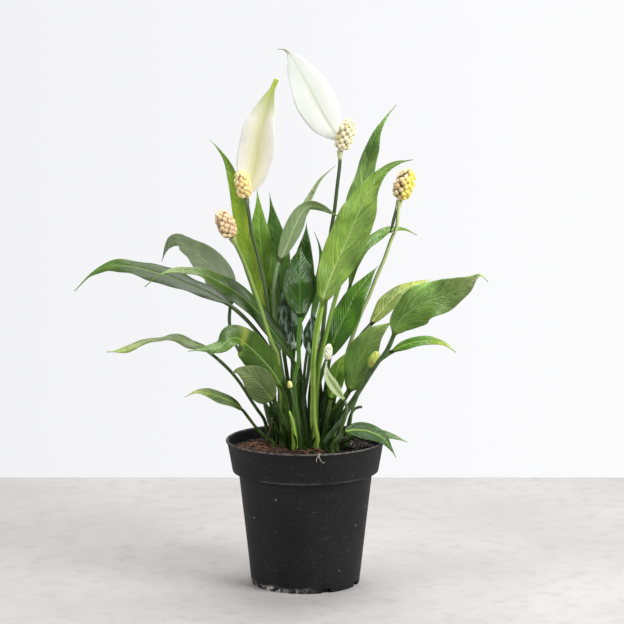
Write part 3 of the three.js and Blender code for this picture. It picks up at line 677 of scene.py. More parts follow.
colour = shaded(mixed(mask(along, 0.45, 1.0), given["top"], given["tip"]), mottle_and_painted_sheen)
colour = mixed(vein * 0.08, colour, given["rib"])
under = shaded(given["under"], mixed(0.5, mottle_and_painted_sheen, (1, 1, 1, 1)))
under = mixed(vein * 0.14, under, given["rib"])
colour = mixed(upper, under, colour)
colour = mixed(rib * 0.8, colour, given["rib"])
colour = mixed(mask(out_share, 0.9, 1.0) * given["margin"], colour, given["rib"])
patch = (abs(along - given["patch_place"]) + cloud * 0.05) / given["patch_length"]
colour = mixed(mask(patch, 1.0, 0.2) * given["patch_share"], colour, given["patch"])

# Below the blade the petiole takes over. Towards its foot in the peat it takes the foot colour, which for
# most leaves is dark as painted shade of the dense crown, and a dark line in its channel is painted shade.
stalk = mixed(mask(split(spot)[2], 0.19, 0.115), given["petiole"], given["foot"])
stalk = mixed(mask(blur, 0.3, 0.7), stalk, mixed(0.25, stalk, given["rib"]))
# Painted shade: a dark line along the channel on the upper face of the petiole.
stalk = mixed(mask(out_share, 0.3, 0.08) * upper * 0.75, stalk, shaded(stalk, (0.32, 0.4, 0.3, 1)))
on_blade = mask(along, 0.0, 0.06)
colour = mixed(on_blade, stalk, colour)

# Relief in millimetres: veins sunk above and raised below, streaks, and a slow undulation.
relief = main_wave * -0.1 * (upper * 2.0 - 1.0) + streak * 1.1 + swell * 15.0
end_group(
    leaf_group, Color=colour, Glow=mixed(0.6, shaded(colour, (1.7, 1.7, 0.6, 1)), (170, 200, 40)),
    Roughness=given["gloss"] + (1.0 - upper) * 0.2 + (streak - 0.5) * 0.3,
    Height=relief * on_blade + blur * 0.25)

# %% Leaf tones
# Colours of 0 to 255 on screen, and the gloss as a roughness.
LOOK_KEYS = ("top", "tip", "under", "rib", "petiole", "gloss")
TONES = {
    "fresh": ((92, 138, 40), (118, 158, 52), (128, 162, 84), (160, 190, 88), (112, 146, 54), 0.34),
    "mid": ((66, 112, 38), (92, 134, 54), (112, 146, 84), (136, 166, 84), (78, 112, 50), 0.32),
    "dark": ((42, 80, 28), (60, 100, 40), (94, 124, 76), (104, 140, 66), (58, 88, 42), 0.28),
    "grey": ((100, 130, 86), (112, 142, 96), (116, 142, 104), (140, 164, 124), (92, 120, 84), 0.42),
    "yellow": ((150, 168, 84), (176, 188, 96), (160, 176, 104), (186, 198, 118), (96, 122, 52), 0.4),
}
# The plain foot colour is dark green as painted shade of the crown round the petiole feet.
PLAIN = dict(patch=(128, 128, 128), patch_place=0.5, patch_length=0.1, patch_share=0.0, margin=0.15,
             foot=(50, 74, 28), relief=1.0)

# Leaves that differ from their tone in the photograph, by what differs.
DIFFERENT = {
    "tall_left_leaf": dict(top=(158, 192, 62), tip=(134, 174, 72), rib=(150, 186, 64)),
    "light_leaf_behind_stem": dict(top=(136, 176, 70), tip=(124, 166, 68)),
    "dark_upright_leaf": dict(top=(124, 168, 96), tip=(124, 172, 100)),
    "grey_leaf_bending_right": dict(top=(116, 146, 100), under=(144, 168, 126), rib=(190, 206, 170),
                                    petiole=(124, 150, 104)),
    "thin_tipped_leaf": dict(top=(174, 192, 160), tip=(180, 196, 164), petiole=(96, 128, 82)),
    "wide_centre_leaf": dict(top=(45, 82, 18), tip=(38, 73, 17), rib=(76, 122, 38),
                             petiole=(100, 146, 58), foot=(88, 126, 48)),
    "leaf_behind_centre": dict(top=(90, 138, 74)),
    "thin_dark_tip": dict(top=(80, 130, 56), tip=(90, 138, 66)),
    "big_bright_leaf": dict(top=(146, 186, 84), tip=(124, 168, 74), rib=(196, 214, 140),
                            petiole=(152, 188, 70), foot=(158, 186, 78), patch=(62, 100, 46),
                            patch_place=1.0, patch_length=0.14, patch_share=0.9),
    "dark_tall_leaf": dict(top=(138, 178, 102), tip=(126, 174, 90), petiole=(130, 166, 60),
                           foot=(110, 144, 54)),
    "thin_arching_leaf": dict(top=(88, 132, 44), tip=(120, 154, 62)),
    "far_left_leaf": dict(top=(56, 78, 34), petiole=(64, 78, 50), gloss=0.5, relief=0.3, patch=(58, 68, 46),
                          patch_place=0.1, patch_length=0.5, patch_share=0.8),
    "upper_left_leaf": dict(under=(166, 180, 156), rib=(184, 194, 168), petiole=(70, 92, 62)),
    "long_left_leaf": dict(top=(48, 76, 26), tip=(116, 146, 66), gloss=0.36, relief=0.5),
    "twisted_left_leaf": dict(top=(88, 102, 72), tip=(138, 160, 84), petiole=(60, 76, 46), margin=0.5),
    "folded_over_leaf": dict(top=(62, 92, 32), tip=(120, 160, 84), relief=0.6, patch=(160, 168, 64),
                             patch_place=0.52, patch_length=0.075, patch_share=0.7),
    "grey_dark_leaf": dict(top=(94, 112, 68), tip=(100, 120, 72), rib=(116, 140, 80), gloss=0.5),
    "low_left_leaf": dict(top=(96, 118, 84), tip=(160, 166, 106), margin=0.4, petiole=(60, 84, 42),
                          foot=(44, 58, 32)),
    "dark_leaf_right_of_centre": dict(top=(74, 124, 34), tip=(98, 146, 48)),
    "yellow_green_leaf": dict(top=(142, 162, 86), petiole=(52, 74, 40), foot=(40, 60, 30)),
    "big_right_leaf": dict(top=(126, 168, 88), tip=(184, 198, 140), rib=(160, 192, 124), petiole=(60, 90, 44),
                           foot=(44, 68, 32)),
    "bright_right_leaf": dict(top=(84, 136, 36), tip=(188, 208, 76), petiole=(70, 104, 50)),
    "broad_green_leaf": dict(top=(100, 138, 66), tip=(132, 158, 94)),
    "leaf_over_the_rim": dict(top=(55, 95, 38), tip=(50, 90, 34)),
    "narrow_leaf_over_rim": dict(top=(100, 130, 88), tip=(110, 140, 98)),
    "small_bright_leaf": dict(top=(84, 128, 34), tip=(106, 146, 46)),
    "puckered_leaf": dict(top=(66, 96, 72), tip=(76, 108, 80), rib=(120, 150, 120), petiole=(48, 72, 44),
                          gloss=0.14),
    "puckered_narrow_leaf": dict(top=(62, 88, 78), tip=(70, 96, 84), rib=(120, 150, 124), gloss=0.14),
    "crown_green": dict(top=(34, 62, 26), tip=(58, 90, 36), under=(58, 84, 44), rib=(60, 92, 38),
                        petiole=(38, 60, 26), foot=(30, 46, 22), gloss=0.4),
}
print("tones:", ", ".join(TONES))


# %% Leaf material
def leaf_material(name, tone):
    """A glossy shader mixed with light that comes through, both coloured by the leaf group. Puckered
    leaves have a coarse net of ridges, stretched along the blade, in place of the veins' relief, and the
    ridges are painted pale over darker hollows as painted highlights."""
    look = PLAIN | dict(zip(LOOK_KEYS, TONES[tone])) | DIFFERENT.get(name, {})
    strength = look.pop("relief")
    made, tree, skin = new_material(name)
    drawn = placed(tree, leaf_group, look)
    colour, surface, depth = drawn["Color"], drawn["Height"], 0.001
    if name.startswith("puckered"):
        stretched = add(tree, "Mapping", spot_of(tree), None, (0, 0.5, 0), (420, 260, 105))
        surface, depth = noise(stretched, 1.0, 2.0, 0.5), 0.003
        # Painted highlights: pale ridges over darker hollows stand for the glints of the puckered surface.
        painted_ridge_glints = mixed(mask(surface, 0.42, 0.64), (36, 64, 44), (176, 200, 184))
        colour = mixed(mask(split(field(tree, "leaf"))[1], 0.03, 0.12), colour, painted_ridge_glints)
    dress(skin, colour, drawn["Roughness"], surface, strength, depth)
    let_through(tree, drawn["Glow"], 0.3)
    return made


# %% Leaves
WAVES = {"twisted_left_leaf": 1.1, "big_right_leaf": 1.5, "leaf_over_the_rim": 0.7,
         "narrow_leaf_over_rim": 0.3}
CROWN_RADIUS = 20
for number, (name, tone, foot, radius, path, blade, width, rolls, fold) in enumerate(LEAVES):
    line = bent_line(rooted(foot, path))
    sheathed = math.hypot(*foot) < CROWN_RADIUS and tone in ("mid", "dark")
    points, faces, fields = strip_surface(
        line, blade_start(line, blade + 3), radius, width, rolls, fold, WAVES.get(name, 0.03 * width), number,
        sheath=0.9 if sheathed else 0.2)
    piece(name + "_fine", points, faces, leaf_material(name, tone), "leaf_" + tone, [name], **fields)
print(name, "is the last of", len(LEAVES), "leaves and has", len(faces), "faces")

# %% [markdown]
# ## Scale leaves in the crown
#
# Between the petioles the crown is full of short sheathing leaves without a blade. They are only a few
# centimetres tall and dark, and they hide most of what is behind the petioles; their dark colour is
# partly their own and partly painted shade of the dense crown. Each is the same strip as a leaf, short
# and narrow, at a seeded place in the clump. The places follow the spiral of a sunflower's seeds, which
# spreads them evenly.

# %% Scale leaves
SCALES, GOLDEN_TURN = 40, 2.39996
crown_draw = np.random.default_rng(5)
# The scale leaves' dark finish is partly their own colour and partly painted shade of the crown.
crown_finish_and_shade = leaf_material("crown_green", "dark")
for number in range(SCALES):
    turn, far = GOLDEN_TURN * number, 4 + 19 * math.sqrt((number + 0.5) / SCALES)
    x, y = far * math.cos(turn), far * math.sin(turn) - 1
    front = y < -5
    tall = crown_draw.uniform(6, 20) if front else crown_draw.uniform(36, 100) * (1 - far / 40)
    lean, wide = crown_draw.uniform(0.1, 0.6), crown_draw.uniform(*((1.5, 2.5) if front else (6, 11)))
    path = [[x * (1 + lean * s * s), y * (1 + lean * s * s), 109 + tall * s] for s in (0.12, 0.4, 0.7, 1.0)]
    points, faces, fields = strip_surface(
        bent_line(rooted((x, y), path)), 14, 1.2, wide, crown_draw.uniform(-60, 60, 2), 0.35,
        seed=80 + number, half_columns=6, step=3.0)
    piece("crown_scale_%02d" % number, points, faces, crown_finish_and_shade, "leaf_dark", **fields)
print("scale leaves:", SCALES)

# %% [markdown]
# ## Stems, stumps and the rolled leaf
#
# Each bloom stands on its own round stem, which is thicker at its foot. There is also a broken petiole,
# a dry stump where an old flower was cut, and a young leaf that is still rolled up. All are round rings
# along a line. A faint flute runs along the living ones, and the cut and broken ends stay open-looking
# because their last ring is flat.

# %% Stem table
# name, tone, foot [x, y], radius at the foot and at the top, line above the peat.
STEMS = [
    ["front_left_bloom_stem", "stem", [-12.5, 4.5], 1.5, 1.3,
     [[-16, 7, 138], [-19, 8, 157], [-22, 7, 177], [-26, 4, 199], [-30, -2, 225], [-35, -5, 249],
      [-40, -5, 268], [-42, -6, 283], [-44, -6, 293]]],
    ["tall_bloom_stem", "stem", [4, 11.5], 1.7, 1.3,
     [[7, 14, 137], [10, 21, 168], [13, 25, 187], [15, 26, 205], [17, 26, 236], [19, 25, 262],
      [22, 22, 281], [24, 20, 299], [26, 20, 317], [26, 20, 326]]],
    ["low_left_bloom_stem", "fresh", [-18, -5], 1.7, 1.5,
     [[-18, -8, 141], [-20, -10, 161], [-21, -12, 176], [-25, -15, 186], [-29, -16, 198], [-33, -16, 211],
      [-38, -16, 226], [-44, -16, 243], [-50, -17, 257], [-54, -18, 265]]],
    ["right_bloom_stem", "stem", [17, 12], 1.7, 1.3,
     [[20, 16, 137], [28, 21, 159], [35, 28, 181], [42, 32, 200], [49, 35, 215], [54, 36, 228], [60, 35, 242],
      [65, 33, 257], [69, 30, 267], [70, 28, 279], [71, 27, 288]]],
    ["young_bloom_stem", "stem", [24, -17], 1.4, 1.2,
     [[27, -19, 122], [30, -21, 131], [31, -21, 138], [29.2, -20, 142.9]]],
    ["right_bud_stem", "stem", [33, -2], 1.1, 1,
     [[35, -4, 131], [39, -5, 143], [44, -6, 154], [49, -6, 165]]],
    ["small_bud_stem", "dry", [-3, -21], 0.9, 0.8,
     [[-4, -22, 119], [-6, -21, 129], [-8, -21, 140], [-11, -20, 152]]],
    ["broken_petiole", "dark", [31, 7], 1.2, 1.1,
     [[33, 8, 122], [35, 8, 128], [38, 8, 132], [43, 8, 133]]],
    ["cut_stump", "dry", [-29, -4], 1.2, 1,
     [[-28, -4, 112], [-26, -4, 119], [-25, -4, 127]]],
    ["young_rolled_leaf", "yellow", [-8, -15], 2.4, 0.8,
     [[-8, -15, 112], [-9, -15, 119], [-10, -15, 127], [-12, -14, 134]]],
]


def tube_surface(line, low, high, sides=20, step=3.0, flute=0.03, seed=0, flare=0.0, bulge=1.0):
    """Round rings along a line: the radius goes from low to high with the bulge as the power of the share,
    with a flute of a few per cent that repeats five times round, and widens by the flare over its last
    7 mm."""
    whole = lengths_of(line)[-1]
    rows = np.linspace(0, whole, int(whole / step) + 2)[:, None]
    angle = -2 * np.pi * np.arange(sides)[None, :] / sides
    radius = (low + (high - low) * (rows / whole) ** bulge) * (1 + flare * smooth((rows - whole + 7) / 7))
    radius = radius * (1 + flute * np.cos(5 * angle + seed))
    frames = axes_at(line, rows[:, 0], np.zeros(len(rows)))
    points = around_line(*frames, radius * np.cos(angle), radius * np.sin(angle))
    fields = {"stem": joined(angle / 6.2832, rows / whole, rows - whole)}
    return points, closed_rings(len(rows), sides), fields


print("stems:", len(STEMS))

# %% [markdown]
# ## The finish of a stem
#
# A stem is smooth and slightly glossy, with fine streaks that run along it. It is pale at its foot and
# darker above, and pale again just below the flower. The streaks are a noise read from the stem's own
# fields, pulled out along its length. The side that faces left is darkened as painted shade.

# %% Stem colour group
stem_group, given = new_group("stem_skin", "body upper foot streak side neck", "side_share neck_share")
lie = field(stem_group, "stem")
_, along, from_top = split(lie)
spot = spot_of(stem_group)
long_grain = noise(add(stem_group, "Mapping", lie, None, None, (9.0, 1.5, 0.03)), 2.2, 4.0, 0.6)
facing_x = split(add(stem_group, "NewGeometry", out=1))[0]
colour = mixed(mask(along, 0.25, 1.0), given["body"], given["upper"])
colour = mixed(mask(split(spot)[2], 0.165, 0.105), colour, given["foot"])
colour = mixed(mask(long_grain, 0.45, 0.7) * 0.55, colour, given["streak"])
# Painted shade: the side whose normal faces left, away from the key lamp, takes the darker side colour.
colour = mixed(mask(facing_x, -0.1, -0.8) * given["side_share"], colour, given["side"])
colour = mixed(mask(noise(spot, 45.0, 3.0, 0.6), 0.4, 0.75) * 0.3, colour, given["foot"])
colour = mixed(mask(from_top, -8.0, -4.0) * given["neck_share"], colour, given["neck"])
end_group(stem_group, Color=colour, Roughness=long_grain * 0.2 + 0.36, Height=long_grain)

# Each tone: body, upper end, foot, streak, left side darkened as painted shade, and how much the left side
# shows.
STEM_KEYS = ("body", "upper", "foot", "streak", "side", "side_share")
STEM_TONES = {
    "stem": ((76, 100, 50), (66, 84, 56), (84, 112, 46), (96, 120, 62), (46, 62, 42), 0.6),
    "fresh": ((124, 150, 58), (116, 142, 70), (104, 134, 54), (152, 174, 84), (58, 76, 42), 0.8),
    "dark": ((60, 84, 46), (70, 70, 40), (60, 84, 38), (84, 104, 56), (40, 56, 34), 0.3),
    "dry": ((96, 78, 46), (120, 96, 60), (56, 60, 32), (76, 62, 40), (60, 46, 32), 0.2),
    "yellow": ((152, 190, 64), (104, 148, 50), (150, 186, 70), (160, 184, 86), (70, 104, 38), 0.6),
    "right_bloom_stem": ((98, 122, 72), (206, 218, 150), (56, 78, 38), (152, 174, 112), (76, 100, 56), 0.7),
    "small_bud_stem": ((58, 78, 34), (70, 92, 40), (50, 70, 30), (66, 84, 38), (44, 58, 28), 0.3),
}
# The pale neck below a spadix, where the spathe was joined to the stem: its colour and share.
NECKS = {
    "tall_bloom_stem": ((218, 226, 176), 0.9), "front_left_bloom_stem": ((112, 132, 76), 0.5),
    "low_left_bloom_stem": ((150, 164, 96), 0.7), "right_bloom_stem": ((214, 222, 158), 0.7),
}
STEM_SLOTS = {"stem": "stem", "fresh": "leaf_fresh", "dark": "leaf_dark", "dry": "dry_stem",
              "yellow": "leaf_yellow"}

# %% Stems
for number, (name, tone, foot, low, high, path) in enumerate(STEMS):
    made, tree, skin = new_material(name)
    look = dict(zip(STEM_KEYS, STEM_TONES.get(name, STEM_TONES[tone])))
    look["neck"], look["neck_share"] = NECKS.get(name, ((0, 0, 0), 0.0))
    drawn = placed(tree, stem_group, look)
    dress(skin, drawn["Color"], drawn["Roughness"], drawn["Height"], 0.3, 0.0005)
    points, faces, fields = tube_surface(
        bent_line(rooted(foot, path)), low, high, seed=number, flare=0.9 if name in NECKS else 0.0,
        bulge=3.5 if name == "young_rolled_leaf" else 1.0)
    piece(name + "_fine", points, faces, made, STEM_SLOTS[tone], [name], **fields)
print("last stem has", len(faces), "faces")

# %% [markdown]
# ## The spathes
#
# A spathe is a leaf that stands behind the flower and has turned white. It has the same parts as a leaf,
# so the same surface makes it, with a deeper boat-like fold and no thick keel. The older one at the left
# is cream with a green neck, and its tip is cut off. The tall one is nearly pure white and ends in a
# small green hook. The young one is still curled round its stem. The small green bract beside the right
# bloom is made in the same way.

# %% Spathe table
# name, slot, radius at the foot, line, point where the blade starts, width, rolls, fold.
SPATHES = [
    ["front_left_spathe", "spathe_cream", 1.1,
     [[-42.2, -3.1, 284], [-43.8, -3.1, 293], [-42.5, 0.5, 299], [-38.5, 3, 312], [-35, 4, 328],
      [-32.5, 4, 344], [-29, 4, 358], [-25, 3, 371], [-21, 2, 381]],
     1, 32, [-20, -30, -35, -10], 0.45],
    ["tall_spathe", "spathe_white", 1.1,
     [[26, 22.9, 318], [26, 22.9, 326], [25, 25, 331], [21.5, 28, 339], [15, 30, 349], [8, 31, 362],
      [1, 30, 375], [-5, 28, 386], [-10, 25, 395], [-15, 22, 401], [-20.5, 20, 402]],
     2, 33, [20, 25, 25, 10], 0.25],
    ["young_spathe", "spathe_cream", 1.2,
     [[28.7, -19.9, 143.8], [25.5, -20, 148], [20.5, -20, 155], [16.5, -20, 162], [15.5, -20, 168],
      [16, -20, 173]],
     0, 7.5, [10, 10, 10], 0.5],
    ["right_bract", "leaf_dark", 0.9,
     [[64.6, 32.2, 263], [66.4, 28.4, 271], [67.8, 25.8, 279], [68.6, 24.6, 287]],
     0, 3, [30, 30, 30], 0.2],
]

# %% Spathe colour group
spathe_group, given = new_group("spathe_blade", "pale middle tip back edge",
                                "tip_start tip_length middle_width speckle")
across, along, upper = split(field(spathe_group, "leaf"))
spot = spot_of(spathe_group)
out_share = abs(across)
# Veins run nearly along the spathe, so the noise is fine across and long along it.
veins = noise(add(spathe_group, "CombineXYZ", across * 9.0, along * 1.6, upper), 1.4, 5.0, 0.65)
band = mask(out_share / given["middle_width"] + veins * 0.5, 1.25, 0.3)
colour = mixed(band * 0.8, given["pale"], given["middle"])
colour = mixed(mask(veins, 0.5, 0.72) * 0.45, colour, given["middle"])
colour = mixed(mask(out_share, 0.5, 1.0), colour, given["edge"])
colour = mixed(mask(veins, 0.52, 0.4) * 0.16, colour, (206, 200, 176))
colour = mixed(mask(noise(spot, 60.0, 3.0, 0.5), 0.5, 0.8) * 0.12, colour, (226, 214, 196))
colour = mixed((1.0 - upper) * 0.7, colour, given["back"])
past_tip = along + (veins - 0.5) * 0.25 - given["tip_start"]
colour = mixed(mask(past_tip / given["tip_length"], 0.0, 1.0), colour, given["tip"])
fleck = mask(add(spathe_group, "TexVoronoi", spot, None, 900.0), 0.35, 0.1)
colour = mixed(fleck * given["speckle"], colour, (132, 158, 92))
end_group(spathe_group, Color=colour, Height=veins)

# The last number is the share of light that comes through.
SPATHE_LOOKS = {
    "front_left_spathe": (dict(
        pale=(255, 253, 240), middle=(240, 240, 186), tip=(196, 212, 92), back=(244, 242, 214),
        edge=(255, 255, 255), tip_start=0.62, tip_length=0.36, middle_width=0.55, speckle=0.0), 0.3),
    "tall_spathe": (dict(
        pale=(240, 242, 239), middle=(226, 230, 214), tip=(120, 142, 74), back=(246, 248, 244),
        edge=(244, 246, 244), tip_start=0.86, tip_length=0.1, middle_width=0.16, speckle=0.0), 0.55),
    "young_spathe": (dict(
        pale=(208, 222, 168), middle=(152, 182, 104), tip=(230, 236, 208), back=(176, 198, 128),
        edge=(208, 222, 168), tip_start=0.55, tip_length=0.3, middle_width=0.6, speckle=0.9), 0.3),
    "right_bract": (dict(
        pale=(70, 96, 56), middle=(54, 78, 46), tip=(60, 84, 50), back=(66, 90, 56),
        edge=(70, 96, 56), tip_start=0.5, tip_length=0.14, middle_width=0.4, speckle=0.0), 0.2),
}

# %% Spathes
BLUNT = {"front_left_spathe": 1.9, "young_spathe": 0.6}
for number, (name, slot, radius, path, blade, width, rolls, fold) in enumerate(SPATHES):
    line = bent_line(path)
    points, faces, fields = strip_surface(
        line, blade_start(line, blade), radius, width, rolls, fold, 0.02 * width, 40 + number,
        step=1.0, tip=BLUNT.get(name, 0.2), keel=0.5, taper=0.6 if name == "tall_spathe" else 0.0)
    look, through = SPATHE_LOOKS[name]
    made, tree, skin = new_material(name)
    drawn = placed(tree, spathe_group, look)
    dress(skin, drawn["Color"], 0.5, drawn["Height"], 0.25, 0.0006)
    let_through(tree, drawn["Color"], through)
    piece(name + "_fine", points, faces, made, slot, [name], **fields)
    print(name, "faces:", len(faces))

# %% [markdown]
# ## The spadices
#
# A spadix is a stub covered with round florets in a diamond pattern. They are cream, and brown in the
# gaps, partly with age and partly as painted shade between the florets, and painted light makes their
# right side brighter. The surface is a grid round the axis. Its radius rises like a small dome over the
# nearest floret centre, and every floret gets a slightly different size and tint from a seeded draw.

# %% Spadix table
# name, foot point, top point, radius, True where it carries florets.
SPADICES = [
    ["front_left_spadix", [-44.2, -6.7, 293.9], [-48, -15, 315], 5.8, True],
    ["tall_spadix", [26.3, 19.3, 327], [34, 13, 351], 6.3, True],
    ["low_left_spadix", [-54.3, -18.1, 265.4], [-63.5, -20, 286], 6.8, True],
    ["right_spadix", [71.1, 26.9, 288.8], [78.5, 23, 312.5], 7.4, True],
    ["young_spadix", [16.1, -20, 173.9], [18, -20, 186], 3.1, True],
    ["right_bud", [49.3, -6, 165.5], [54, -6, 178], 4, False],
    ["small_bud", [-11.1, -20, 152.4], [-12, -20, 158], 2, False],
]
FLORET_COLUMNS, FLORET_ROWS = 14, 9
# The squared distance where a dome ends, its height as a share of the radius, and the part of it that
# lies inside the stub. A point with no floret near it counts as far off.
DOME_END, DOME_HEIGHT, DOME_SUNK, FAR_OFF = 0.66, 0.32, 0.62, 9.0


def floret_pattern(t, sides, seed):
    """For each point of the grid: the squared distance to the nearest floret centre in the diamond grid,
    and that floret's own size and tint. Only grid crossings whose two numbers add up to even carry one."""
    draw = np.random.default_rng(seed)
    count = (FLORET_ROWS + 1, FLORET_COLUMNS)
    size, tint = draw.uniform(0.6, 1.15, count), draw.uniform(0, 1, count)
    slip = draw.uniform(-0.3, 0.3, (2, *count))
    place_v, place_u = np.meshgrid(t * FLORET_ROWS, np.arange(sides) / sides * FLORET_COLUMNS, indexing="ij")
    best = np.full(place_v.shape, FAR_OFF)
    raised, hue = np.zeros_like(best), np.zeros_like(best)
    for dv in (-1, 0, 1, 2):
        for du in (-1, 0, 1, 2):
            v = np.clip(np.floor(place_v) + dv, 0, FLORET_ROWS).astype(int)
            u = np.floor(place_u).astype(int) + du
            own = v, u % FLORET_COLUMNS
            off = (place_v - v - slip[0][own]) ** 2 + (place_u - u - slip[1][own]) ** 2
            off = np.where((u + v) % 2 == 0, off, FAR_OFF)
            nearer = off < best
            best = np.where(nearer, off, best)
            raised = np.where(nearer, size[own], raised)
            hue = np.where(nearer, tint[own], hue)
    return best, raised, hue


def spadix_surface(foot, top, radius, florets, seed):
    """A rounded stub: radius times a sine to the power 0.55, plus a dome for each floret. The dome is the
    square root of 1 less the squared distance to its centre, measured in the diamond grid."""
    foot, top = np.array(foot, dtype=float), np.array(top, dtype=float)
    rows, sides = (150, 200) if florets else (40, 40)
    t = np.linspace(0, 1, rows)
    angle = -2 * np.pi * np.arange(sides) / sides
    breadth = (radius * np.sin(np.pi * (0.1 + 0.84 * t**0.85)) ** 0.55)[:, None]
    close = np.sqrt(np.clip(np.minimum(t / 0.06, (1 - t) / 0.09), 0, 1))[:, None]
    best, raised, hue = floret_pattern(t, sides, seed)
    dome = np.sqrt(np.clip(1 - best / DOME_END, 0, 1)) * raised
    reach = breadth * close
    if florets:
        reach = reach + DOME_HEIGHT * radius * (dome - DOME_SUNK) * (0.35 + 0.65 * close)
    else:
        dome = np.full(dome.shape, 0.8)
    reach = np.maximum(reach, 0.05)
    side, face = side_and_face((top - foot) / np.linalg.norm(top - foot))
    centre = foot + (top - foot) * t[:, None]
    points = around_line(centre, side[None], face[None], reach * np.cos(angle), reach * np.sin(angle))
    return points, closed_rings(rows, sides), {"floret": joined(dome, hue, -np.cos(angle))}


# %% Spadix colour group
spadix_group, given = new_group("floret_skin", "crown other gap right", "right_light_share")
dome, hue, to_right = split(field(spadix_group, "floret"))
grain = noise(spot_of(spadix_group), 900.0, 3.0, 0.6)
colour = mixed(mask(hue, 0.35, 0.9), given["crown"], given["other"])
# Brown in the gaps between florets: partly age, partly painted shade.
colour = mixed(mask(dome, 0.6, 0.1) * 0.85, colour, given["gap"])
colour = mixed(mask(hue, 0.86, 0.92) * 0.45, colour, given["gap"])
colour = mixed(mask(grain, 0.6, 0.72) * 0.4, colour, given["gap"])
# Painted light: the right side, towards the key lamp, takes the brighter right colour.
colour = mixed(mask(to_right, -0.25, 0.3) * given["right_light_share"], colour, given["right"])
end_group(spadix_group, Color=colour, Height=grain)

# Each spadix: crown of a floret, other florets, gaps (brown with age and painted shade), right side (painted
# light), and how much the right side shows.
SPADIX_KEYS = ("crown", "other", "gap", "right", "right_light_share")
SPADIX_LOOKS = {
    "front_left_spadix": ((250, 232, 178), (240, 208, 136), (176, 128, 70), (248, 230, 150), 0.5),
    "tall_spadix": ((244, 236, 202), (230, 218, 164), (178, 162, 96), (240, 232, 190), 0.35),
    "low_left_spadix": ((232, 210, 166), (212, 178, 132), (118, 86, 56), (220, 184, 146), 0.6),
    "right_spadix": ((244, 222, 176), (224, 190, 132), (90, 64, 34), (248, 228, 96), 0.8),
    "young_spadix": ((240, 242, 220), (226, 232, 196), (178, 190, 136), (244, 244, 226), 0.3),
    "right_bud": ((196, 204, 96), (170, 186, 80), (150, 130, 66), (214, 216, 110), 0.5),
    "small_bud": ((232, 222, 140), (216, 206, 120), (150, 140, 70), (238, 230, 150), 0.5),
}

# %% Spadices
for number, (name, foot, top, radius, florets) in enumerate(SPADICES):
    made, tree, skin = new_material(name)
    drawn = placed(tree, spadix_group, dict(zip(SPADIX_KEYS, SPADIX_LOOKS[name])))
    dress(skin, drawn["Color"], 0.55, drawn["Height"], 0.3, 0.0004)
    points, faces, fields = spadix_surface(foot, top, radius, florets, 60 + number)
    piece(name + "_fine", points, faces, made, "spadix" if florets else "bud", [name], **fields)
    print(name, "faces:", len(faces))

# %% [markdown]
# ## The pot
#
# A nursery pot is blown or pressed from thin black plastic: a tapered body, a wider band at the top, a
# small lip, and drain notches round the base. It is one turned profile. The only part that isn't round
# is the foot, where the height of the lowest rings rises wherever a notch is.

# %% Pot surface
# Radius and height of each ring: out under the base, up the outside, over the lip, down the inside and
# in over the floor.
POT_PROFILE = np.array([
    (0.4, 0.0), (20, 0.0), (38.2, 0.0), (38.4, 0.0), (40.6, 0.0), (41.0, 0.5), (41.2, 1.2), (41.25, 1.9),
    (41.5, 4.2), (43.6, 24.0), (46.5, 50.0), (49.3, 74.5), (50.45, 84.4), (50.7, 85.3), (51.4, 85.75),
    (54.3, 85.95), (55.0, 86.25), (55.3, 87.1), (57.1, 97.5), (58.9, 107.3), (59.2, 108.0), (59.8, 108.3),
    (60.0, 108.8), (59.9, 109.6), (59.5, 110.0), (58.6, 110.0), (58.1, 109.6), (57.6, 107.5), (55.7, 98.0),
    (53.8, 88.4), (53.0, 87.6), (49.5, 87.4), (49.0, 85.0), (44.6, 45.0), (39.9, 5.0), (39.5, 4.4),
    (38.6, 4.2), (38.3, 2.0), (0.4, 2.0),
])
# The rings that rise over the notches.
FOOT_RINGS = slice(3, 8)
BASE_RADIUS, NOTCHES, NOTCH_HALF, NOTCH_HEIGHT, POT_SIDES = 41.2, 8, 3.5, 3.3, 480


def turned(radius, height, angle):
    """The places at a radius and a height round the pot's axis."""
    return joined(radius * np.cos(angle), radius * np.sin(angle), height)


def pot_surface():
    """A profile turned round the axis. The rings of the foot rise to the notch height over each notch,
    and the wall wavers by a fifth of a millimetre, as thin plastic does."""
    angle = 2 * np.pi * np.arange(POT_SIDES) / POT_SIDES
    step = 2 * np.pi / NOTCHES
    off = np.abs((angle / step) % 1 - 0.5) * step * BASE_RADIUS
    notch = 1 - smooth((off - NOTCH_HALF) / 0.5 + 0.5)
    r, z = POT_PROFILE[:, :1], POT_PROFILE[:, 1:]
    waver = 0.12 * np.sin(3 * angle + 0.6) + 0.08 * np.sin(7 * angle + 2.0)
    height = z + 0 * angle
    height[FOOT_RINGS] = np.maximum(z, NOTCH_HEIGHT * notch + 0.25 * z)[FOOT_RINGS]
    wall = (r > 36) & (z > 8) & (z < 106)
    return turned(r + wall * waver - 0.05, height, angle), closed_rings(len(r), POT_SIDES, inward=True)


print("pot profile points:", len(POT_PROFILE))

# %% [markdown]
# The plastic is black, but it has been handled and watered. Pale bands of wear and painted highlight
# follow the rim and the lower lip of the band, lime has dried at the left of the foot, and small specks
# and scratches lie on the wall.
# Noises and distances in the object's own space say where each of these is.

# %% Pot material
# Heights on the pot in metres: where the rim's pale band of wear and painted highlight starts and is full,
# and the lower lip of the band.
RIM_START, RIM_FULL, BAND_LIP = 0.1088, 0.1097, 0.0866


